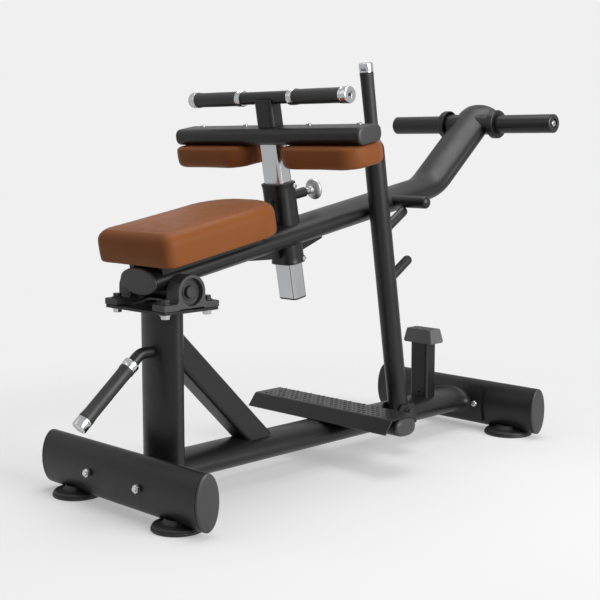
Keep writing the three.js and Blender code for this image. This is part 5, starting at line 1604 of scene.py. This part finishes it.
@dataclass
class ThighPost:
    """The chrome post, crossbar and handlebar that slide in the sleeve."""

    along: float = PostSleeve.along
    post_width: float = 58.0
    post_depth: float = 42.0
    post_bottom: float = -124.0
    post_top: float = 240.2
    crossbar_height: float = 75.0
    crossbar_depth: float = 38.0
    crossbar_up: float = 259.5
    crossbar_half: float = 298.0
    handlebar_up: float = 343.5
    handlebar_half: float = 253.5
    handlebar_radius: float = 14.3
    stem_width: float = 52.0
    stem_depth: float = 40.0
    grip_start: float = 91.8
    grip_end: float = 231.6
    pin_up: float = PostSleeve.pin_up
    hole_pitch: float = 20.0

    def post_ring(self, blank: Blank) -> Edges:
        """Returns the post's outline, made on a blank."""
        return blank.rounded(self.post_width, self.post_depth, (10, 10), 8)

    def crossbar_ring(self, blank: Blank) -> Edges:
        """Returns the crossbar's outline, made on a blank."""
        return blank.rounded(self.crossbar_height, self.crossbar_depth, (16, 16), 10)

    def post(self) -> None:
        """Builds the chrome post with its row of adjusting holes."""
        blank = Blank(PLACE.lever)
        ring = self.post_ring(blank)
        blank.straight(ring, Axis.Z, self.post_bottom + 4, self.post_top, at=(0, self.along, 0))
        tools = []
        for i in range(-5, 4):
            tool = Blank(PLACE.lever)
            up = self.pin_up + i * self.hole_pitch
            tool.turned(rod(5.4, -26, -12), Axis.Y, at=(0, self.along, up), steps=24)
            tools.append(tool)
        blank.carved(*tools).settle("chrome_post_tube", CHROME, Body.POST, "chrome_post", angle=30)

    def post_cap(self) -> None:
        """Builds the cap in the post's lower end."""
        blank = Blank(PLACE.lever)
        low = self.post_bottom
        stops = [(low, 0.95), (low + 1.2, 0.99), (low + 3.8, 0.99)]
        blank.tapered(self.post_ring(blank), Axis.Z, stops, at=(0, self.along, 0))
        blank.settle("post_lower_cap", DARK_PLASTIC, Body.POST, "post_end_cap")

    def crossbar(self) -> None:
        """Builds the oval crossbar, its end caps and the pad screws along its top."""
        at = (0, self.along, self.crossbar_up)
        half = self.crossbar_half - 7
        blank = Blank(PLACE.lever)
        blank.straight(self.crossbar_ring(blank), Axis.X, -half, half, at=at)
        blank.eased(0.6).settle("crossbar_tube", BLACK, Body.POST, "crossbar")
        bow = [(0.2, 0.955), (0.9, 0.985), (3.6, 0.985), (5.2, 0.955), (6.3, 0.88), (6.9, 0.74), (7, 0.5)]
        for side, sign in SIDES:
            cap = Blank(PLACE.lever)
            stops = [(sign * (half + out), share) for out, share in bow]
            cap.tapered(self.crossbar_ring(cap), Axis.X, stops, at=at)
            cap.settle(f"{side}_crossbar_cap", PLASTIC, Body.POST, f"{side}_crossbar_end_cap")
        screws = Blank(PLACE.lever)
        head = [(0, 0), (6.6, 0), (6.6, 1.8), (5.0, 3.8), (2.9, 4.3), (2.7, 2.6), (0, 2.6)]
        for x in (-253, -103, 103, 253):
            screws.turned(head, Axis.Z, at=(x, self.along + 18, self.crossbar_up + 18.4), steps=32)
        screws.settle("pad_screws", ZINC, Body.POST)

    def handlebar(self) -> None:
        """Builds the handlebar, its stem, rings, grips and end caps."""
        at = (0, self.along, self.handlebar_up)
        half = self.handlebar_half
        bar = Blank(PLACE.lever)
        bar.turned(rod(self.handlebar_radius, 20 - half, half - 20), Axis.X, at=at)
        low = self.crossbar_up + self.crossbar_depth / 2 + 0.3
        stem = bar.rounded(self.stem_width, self.stem_depth, (9, 9), 8)
        bar.straight(stem, Axis.Z, low, self.handlebar_up - 2, at=(0, self.along, 0))
        bar.eased(0.5).settle("handlebar_frame", BLACK, Body.POST, "handlebar")
        inner = self.handlebar_radius
        rings = Blank(PLACE.lever)
        rings.turned([
            (inner, 75.4), (17.2, 75.4), (18.5, 77), (18.5, 81), (17.2, 82.4), (17.2, 86),
            (18.4, 87.4), (18.4, 90), (17.4, 91.4), (inner, 91.4), (inner, 75.4),
        ], Axis.X, at=at)
        rings.mirrored()
        rings.settle("handlebar_bright_rings", CHROME, Body.POST)
        socket = Blank(PLACE.lever)
        socket.hexagon(3.4, half - 4.6, half - 1.2, Axis.X, at=at)
        socket.mirrored()
        socket.settle("handlebar_cap_sockets", DARK_PLASTIC, Body.POST)
        inner += 0.2
        start, end = self.grip_start, self.grip_end
        sleeve = [
            (inner, start), (17.4, start), (17.6, 93), (17.6, 97), (16.8, 100), (16.7, 110), (16.9, 165),
            (16.7, 214), (17.0, 224), (17.6, 227), (17.6, 230.6), (17.2, end), (inner, end), (inner, start),
        ]
        bell = [
            (inner, 232), (18.4, 232), (18.4, 235.4), (17.7, 236.4), (18.4, 237.4), (18.4, 250.9),
            (17.4, 252.7), (15.6, half), (8.4, half), (7.6, 252.7), (7.0, 251.3), (4.6, 251.3),
            (4.2, 248.9), (0, 248.9), (0, 244), (inner, 244), (inner, 232),
        ]
        for side, sign in SIDES:
            grip = Blank(PLACE.lever)
            grip.turned(facing(sleeve, sign), Axis.X, at=at)
            grip.settle(f"{side}_grip_sleeve", GRIP, Body.POST, f"{side}_hand_grip")
            cap = Blank(PLACE.lever)
            cap.turned(facing(bell, sign), Axis.X, at=at)
            cap.settle(f"{side}_bar_end_cap", CHROME, Body.POST, f"{side}_handlebar_end_cap")

    def build(self) -> None:
        """Builds the sliding post assembly."""
        self.post()
        self.post_cap()
        self.crossbar()
        self.handlebar()


@dataclass
class SafetyBar:
    """The swinging bar with its catch pegs, grip and cap."""

    radius: float = 25.0
    foot: float = 17.0
    shoulder: float = 655.0
    shoulder_top: float = 704.6
    neck_radius: float = 12.5
    peg_radius: float = 12.0
    peg_rise: float = 23.0
    peg_spacing: float = 122.0
    touch_angle: float = 62.0

    def bar(self) -> None:
        """Builds the tube with its rounded shoulder and the neck in the grip."""
        shoulder, top = self.shoulder, self.shoulder_top
        blank = Blank(PLACE.safety_bar)
        blank.turned([
            (0, -self.foot), (self.radius, -self.foot), (self.radius, shoulder), (24.3, shoulder + 6),
            (22.2, shoulder + 12), (19.4, shoulder + 17), (16.6, shoulder + 22), (15.6, shoulder + 28),
            (15.6, top), (self.neck_radius, top), (self.neck_radius, 846), (0, 846),
        ], Axis.Z, steps=64)
        blank.eased(1.2, 3)
        tip = self.peg_tip()
        slope = math.radians(self.peg_rise)
        length = tip.y / math.cos(slope) + self.peg_radius
        peg = facing(dome(self.peg_radius, 12, length, self.peg_radius), -1)
        for drop in (0, self.peg_spacing):
            before = blank.mark()
            blank.turned(peg, Axis.Y)
            root = tip.z - tip.y * math.tan(slope) - drop
            blank.move(before, shift(0, 0, root) @ turn_x(self.peg_rise))
        blank.settle("safety_bar_tube", BLACK, Body.BAR, "safety_bar")

    def peg_tip(self) -> Vector:
        """Returns the centre of the upper peg's rounded tip, just under the stop pin."""
        pin = PLACE.lever @ Vector((0, Lever.pin_along, Lever.pin_up))
        reach = Lever.pin_radius + self.peg_radius + 0.3
        angle = math.radians(self.touch_angle)
        below = Vector((0, reach * math.cos(angle), reach * math.sin(angle)))
        spot = PLACE.safety_bar.inverted() @ (pin - below)
        return Vector((0, spot.y, spot.z))

    def fittings(self) -> None:
        """Builds the grip and the chrome cap."""
        grip = Blank(PLACE.safety_bar)
        inner = self.neck_radius + 0.3
        grip.turned([
            (inner, 705), (16.2, 705), (16.5, 707), (16.1, 712), (15.6, 722), (15.9, 770), (16.0, 810),
            (16.5, 832), (16.5, 835), (15.8, 835.7), (inner, 835.7), (inner, 705),
        ], Axis.Z)
        grip.settle("safety_bar_grip_sleeve", GRIP, Body.BAR, "safety_bar_grip")
        cap = Blank(PLACE.safety_bar)
        cap.turned([
            (inner, 836), (16.5, 836), (16.5, 838.6), (15.8, 839.6), (16.5, 840.6), (16.5, 854),
            (15.4, 856.6), (13.2, 857.8), (0, 858), (0, 847), (inner, 847), (inner, 836),
        ], Axis.Z)
        cap.settle("safety_bar_bright_cap", CHROME, Body.BAR, "safety_bar_cap")

    def build(self) -> None:
        """Builds the safety bar."""
        self.bar()
        self.fittings()


# Shares of a pad's edge size, across from its side and down from its face.
ROUNDING = ((0, 1), (0.04, 0.84), (0.14, 0.60), (0.32, 0.36), (0.58, 0.16), (0.84, 0.04))
CREASE = ((0.98, 0.0), (1.14, 0.15), (1.34, 0.0))


@dataclass
class Cushion:
    """A firm upholstered pad with drawn-in sides, a soft crease round its face and a crown."""

    name: str
    node: str
    body: Body
    frame: Matrix
    width: float
    length: float
    thickness: float
    crown: float
    corners: tuple[float, float]
    edge: float
    fill: float
    swell: float = 0.8
    voxel: float = 3.0
    frames: int = 20
    smoothings: int = 5
    waist: float = 0.010

    def form(self) -> Blank:
        """Returns the pad's form before it is stuffed, a little under size."""
        blank = Blank(self.frame)
        slack = self.swell
        width, length = self.width - 2 * slack, self.length - 2 * slack
        ring = blank.rounded(width, length, self.corners, 10)
        levels = [
            (3.0, 0.0), (0.8, 1.2), (0.0, 4.0),
            (-0.6, self.thickness * 0.3), (-0.4, self.thickness * 0.6),
        ]
        for across, down in ROUNDING + CREASE:
            levels.append((self.edge * across, self.thickness - self.edge * down))
        half = min(width, length) / 2
        for inset in (0.2, 0.35, 0.5, 0.7, 0.88):
            share = inset * (half - self.edge)
            levels.append((self.edge + share, self.thickness + self.crown * (1 - (1 - inset) ** 2)))
        stations = [
            shift(0, 0, up) @ Matrix.Diagonal((1 - inset / (width / 2), 1 - inset / (length / 2), 1, 1))
            for inset, up in levels
        ]
        blank.sweep(ring, stations)

        def drawn_in(place: Vector) -> Vector:
            """Returns the place, with each side pulled in between its corners."""
            across, along = place.x / (self.width / 2), place.y / (self.length / 2)
            x = place.x * (1 - self.waist * (1 - along**2))
            y = place.y * (1 - self.waist * (1 - across**2))
            return Vector((x, y, place.z))

        blank.shaped(drawn_in)
        return blank

    def stuffed(self, piece: bpy.types.Object) -> None:
        """Presses the cover out from inside, as foam does, by no more than the swell.

        Args:
            piece: The pad, whose mesh is changed.
        """
        remesh = piece.modifiers.new("remesh", "REMESH")
        remesh.mode = "VOXEL"
        remesh.voxel_size = self.voxel * MM
        self.apply(piece)
        start = [vert.co.copy() for vert in piece.data.vertices]
        cloth = piece.modifiers.new("cover", "CLOTH")
        cloth.settings.quality = 5
        cloth.settings.mass = 0.4
        cloth.settings.tension_stiffness = 25
        cloth.settings.compression_stiffness = 25
        cloth.settings.bending_stiffness = 4
        cloth.settings.use_pressure = True
        cloth.settings.uniform_pressure_force = 4.0
        cloth.settings.effector_weights.gravity = 0.0
        cloth.point_cache.frame_start = 1
        cloth.point_cache.frame_end = self.frames
        for frame in range(1, self.frames + 1):
            bpy.context.scene.frame_set(frame)
        self.apply(piece)
        bpy.context.scene.frame_set(1)
        limit = self.swell * MM
        for vert, place in zip(piece.data.vertices, start):
            moved = vert.co - place
            if moved.length > limit:
                vert.co = place + moved * (limit / moved.length)
        smooth = bmesh.new()
        smooth.from_mesh(piece.data)
        for _ in range(self.smoothings):
            bmesh.ops.smooth_vert(
                smooth, verts=smooth.verts[:], factor=0.5,
                use_axis_x=True, use_axis_y=True, use_axis_z=True,
            )
        self.fitted(smooth)
        smooth.to_mesh(piece.data)
        smooth.free()

    def fitted(self, mesh: bmesh.types.BMesh) -> None:
        """Brings the stuffed cover to the pad's size.

        Args:
            mesh: The cover, in metres in the row frame.
        """
        place = Matrix.Scale(MM, 4) @ self.frame
        mesh.transform(place.inverted())
        sizes = (self.width, self.length, self.thickness + self.crown)
        low = [min(vert.co[axis] for vert in mesh.verts) for axis in range(3)]
        high = [max(vert.co[axis] for vert in mesh.verts) for axis in range(3)]
        start = (-self.width / 2, -self.length / 2, 0)
        for vert in mesh.verts:
            vert.co = Vector([
                start[axis] + sizes[axis] * (vert.co[axis] - low[axis]) / (high[axis] - low[axis])
                for axis in range(3)
            ])
        mesh.transform(place)

    @staticmethod
    def apply(piece: bpy.types.Object) -> None:
        """Applies a piece's modifiers to its mesh.

        Args:
            piece: The piece.
        """
        evaluated = piece.evaluated_get(bpy.context.evaluated_depsgraph_get())
        result = bpy.data.meshes.new_from_object(evaluated)
        piece.modifiers.clear()
        old = piece.data
        piece.data = result
        bpy.data.meshes.remove(old)

    def build(self) -> None:
        """Builds the pad."""
        blank = self.form()
        blank.outward()
        blank.mesh.transform(Matrix.Scale(MM, 4) @ self.frame)
        piece = blank.object(self.name)
        self.stuffed(piece)
        dress(piece, TAN, 80)
        divide = piece.modifiers.new("fine_surface", "SUBSURF")
        divide.levels = divide.render_levels = 1
        attach(piece, TAN, self.body, self.node)


@dataclass
class SeatBracket:
    """The rails and straps that hold the seat on the lever."""

    top: float = 62.7
    middle: float = 112.0
    length: float = 290.0
    rail_x: float = 47.0
    strap_reach: float = 125.0

    def build(self) -> None:
        """Builds the bracket."""
        blank = Blank(PLACE.lever)
        for side in (-1, 1):
            blank.block((16, self.length, 26), (side * self.rail_x, self.middle, self.top - 13))
        for end in (-1, 1):
            along = self.middle + end * self.strap_reach
            blank.block((2 * self.rail_x, 40, 3.4), (0, along, self.top - 1.7))
        blank.eased(1.0).settle("seat_mounting_bracket", BLACK, Body.LEVER, "seat_bracket")


@dataclass
class Studio:
    """The pale floor, soft light and the camera at the photograph's angle."""

    camera_place: tuple[float, float, float] = (1.9763336, -2.0427850, 0.7627106)
    yaw: float = 0.7773
    pitch: float = 0.1285
    roll: float = 0.0009
    focal_pixels: float = 1202.2657
    frame_pixels: float = 600.0
    sensor: float = 36.0
    floor_radius: float = 7.0
    fade_start: float = 0.6
    fade_end: float = 1.65
    backdrop: float = 0.871
    gleam: float = 0.66
    fill: float = 0.27
    aim: tuple[float, float, float] = (0.0, 0.0, 0.4)

    def camera(self) -> None:
        """Places the camera."""
        data = bpy.data.cameras.new("camera")
        data.sensor_width = self.sensor
        data.sensor_fit = "HORIZONTAL"
        data.lens = self.sensor * self.focal_pixels / self.frame_pixels
        camera = bpy.data.objects.new("camera", data)
        bpy.context.scene.collection.objects.link(camera)
        turn = Matrix.Rotation(self.yaw, 4, "Z") @ Matrix.Rotation(math.pi / 2 - self.pitch, 4, "X")
        tilted = turn @ Matrix.Rotation(self.roll, 4, "Z")
        camera.matrix_world = Matrix.Translation(self.camera_place) @ tilted
        bpy.context.scene.camera = camera

    def floor(self) -> None:
        """Builds the floor, which fades into the backdrop far from the machine."""
        blank = Blank(Matrix.Identity(4))
        bmesh.ops.create_circle(blank.mesh, cap_ends=True, segments=96, radius=self.floor_radius)
        piece = blank.object("floor")
        shader = Shader("pale_floor")
        shader.put(Base_Color=(0.52, 0.52, 0.52, 1), Roughness=0.9, Specular_IOR_Level=0.0)
        shader.put(Emission_Color=(1, 1, 1, 1), Emission_Strength=0.32)
        distance = shader.tree.nodes.new("ShaderNodeVectorMath")
        distance.operation = "LENGTH"
        shader.tree.links.new(shader.place, distance.inputs[0])
        fade = shader.tree.nodes.new("ShaderNodeMapRange")
        fade.interpolation_type = "SMOOTHSTEP"
        fade.inputs["From Min"].default_value = self.fade_start
        fade.inputs["From Max"].default_value = self.fade_end
        fade.inputs["To Min"].default_value = 1.0
        fade.inputs["To Max"].default_value = 0.0
        shader.tree.links.new(distance.outputs["Value"], fade.inputs["Value"])
        shader.link(fade.outputs["Result"], "Alpha")
        piece.data.materials.append(shader.material)

    def world(self) -> None:
        """Sets the even backdrop and its softer fill light."""
        world = bpy.data.worlds.new("studio")
        bpy.context.scene.world = world
        world.use_nodes = True
        tree = world.node_tree
        tree.nodes.clear()
        output = tree.nodes.new("ShaderNodeOutputWorld")
        path = tree.nodes.new("ShaderNodeLightPath")
        shown = self.shell(tree, self.fill)
        for ray, strength in (("Is Glossy Ray", self.gleam), ("Is Camera Ray", self.backdrop)):
            mix = tree.nodes.new("ShaderNodeMixShader")
            tree.links.new(path.outputs[ray], mix.inputs["Fac"])
            tree.links.new(shown, mix.inputs[1])
            tree.links.new(self.shell(tree, strength), mix.inputs[2])
            shown = mix.outputs["Shader"]
        tree.links.new(shown, output.inputs["Surface"])

    @staticmethod
    def shell(tree: bpy.types.NodeTree, strength: float) -> Socket:
        """Returns an even white surrounding.

        Args:
            tree: The world's nodes.
            strength: Its brightness.

        Returns:
            The background's shader socket.
        """
        node = tree.nodes.new("ShaderNodeBackground")
        node.inputs["Color"].default_value = (1, 1, 1, 1)
        node.inputs["Strength"].default_value = strength
        return node.outputs["Background"]

    def light(self, name: str, place: Sequence[float], size: float, power: float) -> None:
        """Adds a soft square light that faces the machine.

        Args:
            name: Its name.
            place: Where it stands, in metres.
            size: Its side.
            power: Its power in watts.
        """
        data = bpy.data.lights.new(name, "AREA")
        data.shape = "SQUARE"
        data.size = size
        data.energy = power
        lamp = bpy.data.objects.new(name, data)
        bpy.context.scene.collection.objects.link(lamp)
        lamp.location = place
        facing_machine = (Vector(self.aim) - Vector(place)).to_track_quat("-Z", "Y")
        lamp.rotation_euler = facing_machine.to_euler()

    def build(self) -> None:
        """Builds the studio."""
        self.camera()
        self.floor()
        self.world()
        self.light("side_light", (4.9, 0.5, 2.0), 3.2, 285)
        self.light("top_light", (-0.2, 0.3, 3.6), 2.4, 73)
        self.light("rear_light", (-1.8, -3.0, 2.6), 2.4, 10)
        bpy.context.scene.view_settings.view_transform = "Standard"


def cushions() -> list[Cushion]:
    """Returns the seat and both thigh pads."""
    seat = Cushion(
        "seat_cushion", "seat_pad", Body.LEVER, PLACE.lever @ shift(0, SeatBracket.middle, 63.1),
        width=250, length=356, thickness=72, crown=4, corners=(92, 24), edge=21, fill=0.95,
    )
    under = Matrix.Rotation(math.pi, 4, "Y")
    pads = [
        Cushion(
            f"{side}_thigh_cushion", f"{side}_thigh_pad", Body.POST,
            PLACE.lever @ shift(sign * 178.5, ThighPost.along, 240.1) @ under,
            width=237, length=126, thickness=49.5, crown=2.5, corners=(45, 45), edge=12, fill=0.95,
        )
        for side, sign in SIDES
    ]
    return [seat, *pads]


def main() -> None:
    """Builds the studio and dresses the machine, one sub-assembly after another."""
    logging.basicConfig(level=logging.INFO, format="%(name)s %(message)s")
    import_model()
    lever = Lever()
    assemblies = [
        Studio(),
        Base("rear", PLACE.machine, ("right", "left"), 55.0),
        Base("front", PLACE.front_base, ("left", "right"), 63.0),
        Spine(),
        PivotMount(),
        GrabBar(),
        Footplate(),
        BumperStand(),
        CatchBracket(),
        lever,
        WeightHorns(lever.horn_centre()),
        PostSleeve(),
        SeatBracket(),
        ThighPost(),
        SafetyBar(),
        *cushions(),
    ]
    for assembly in assemblies:
        assembly.build()
        LOG.info("%s is built", type(assembly).__name__)


if __name__ == "__main__":
    main()
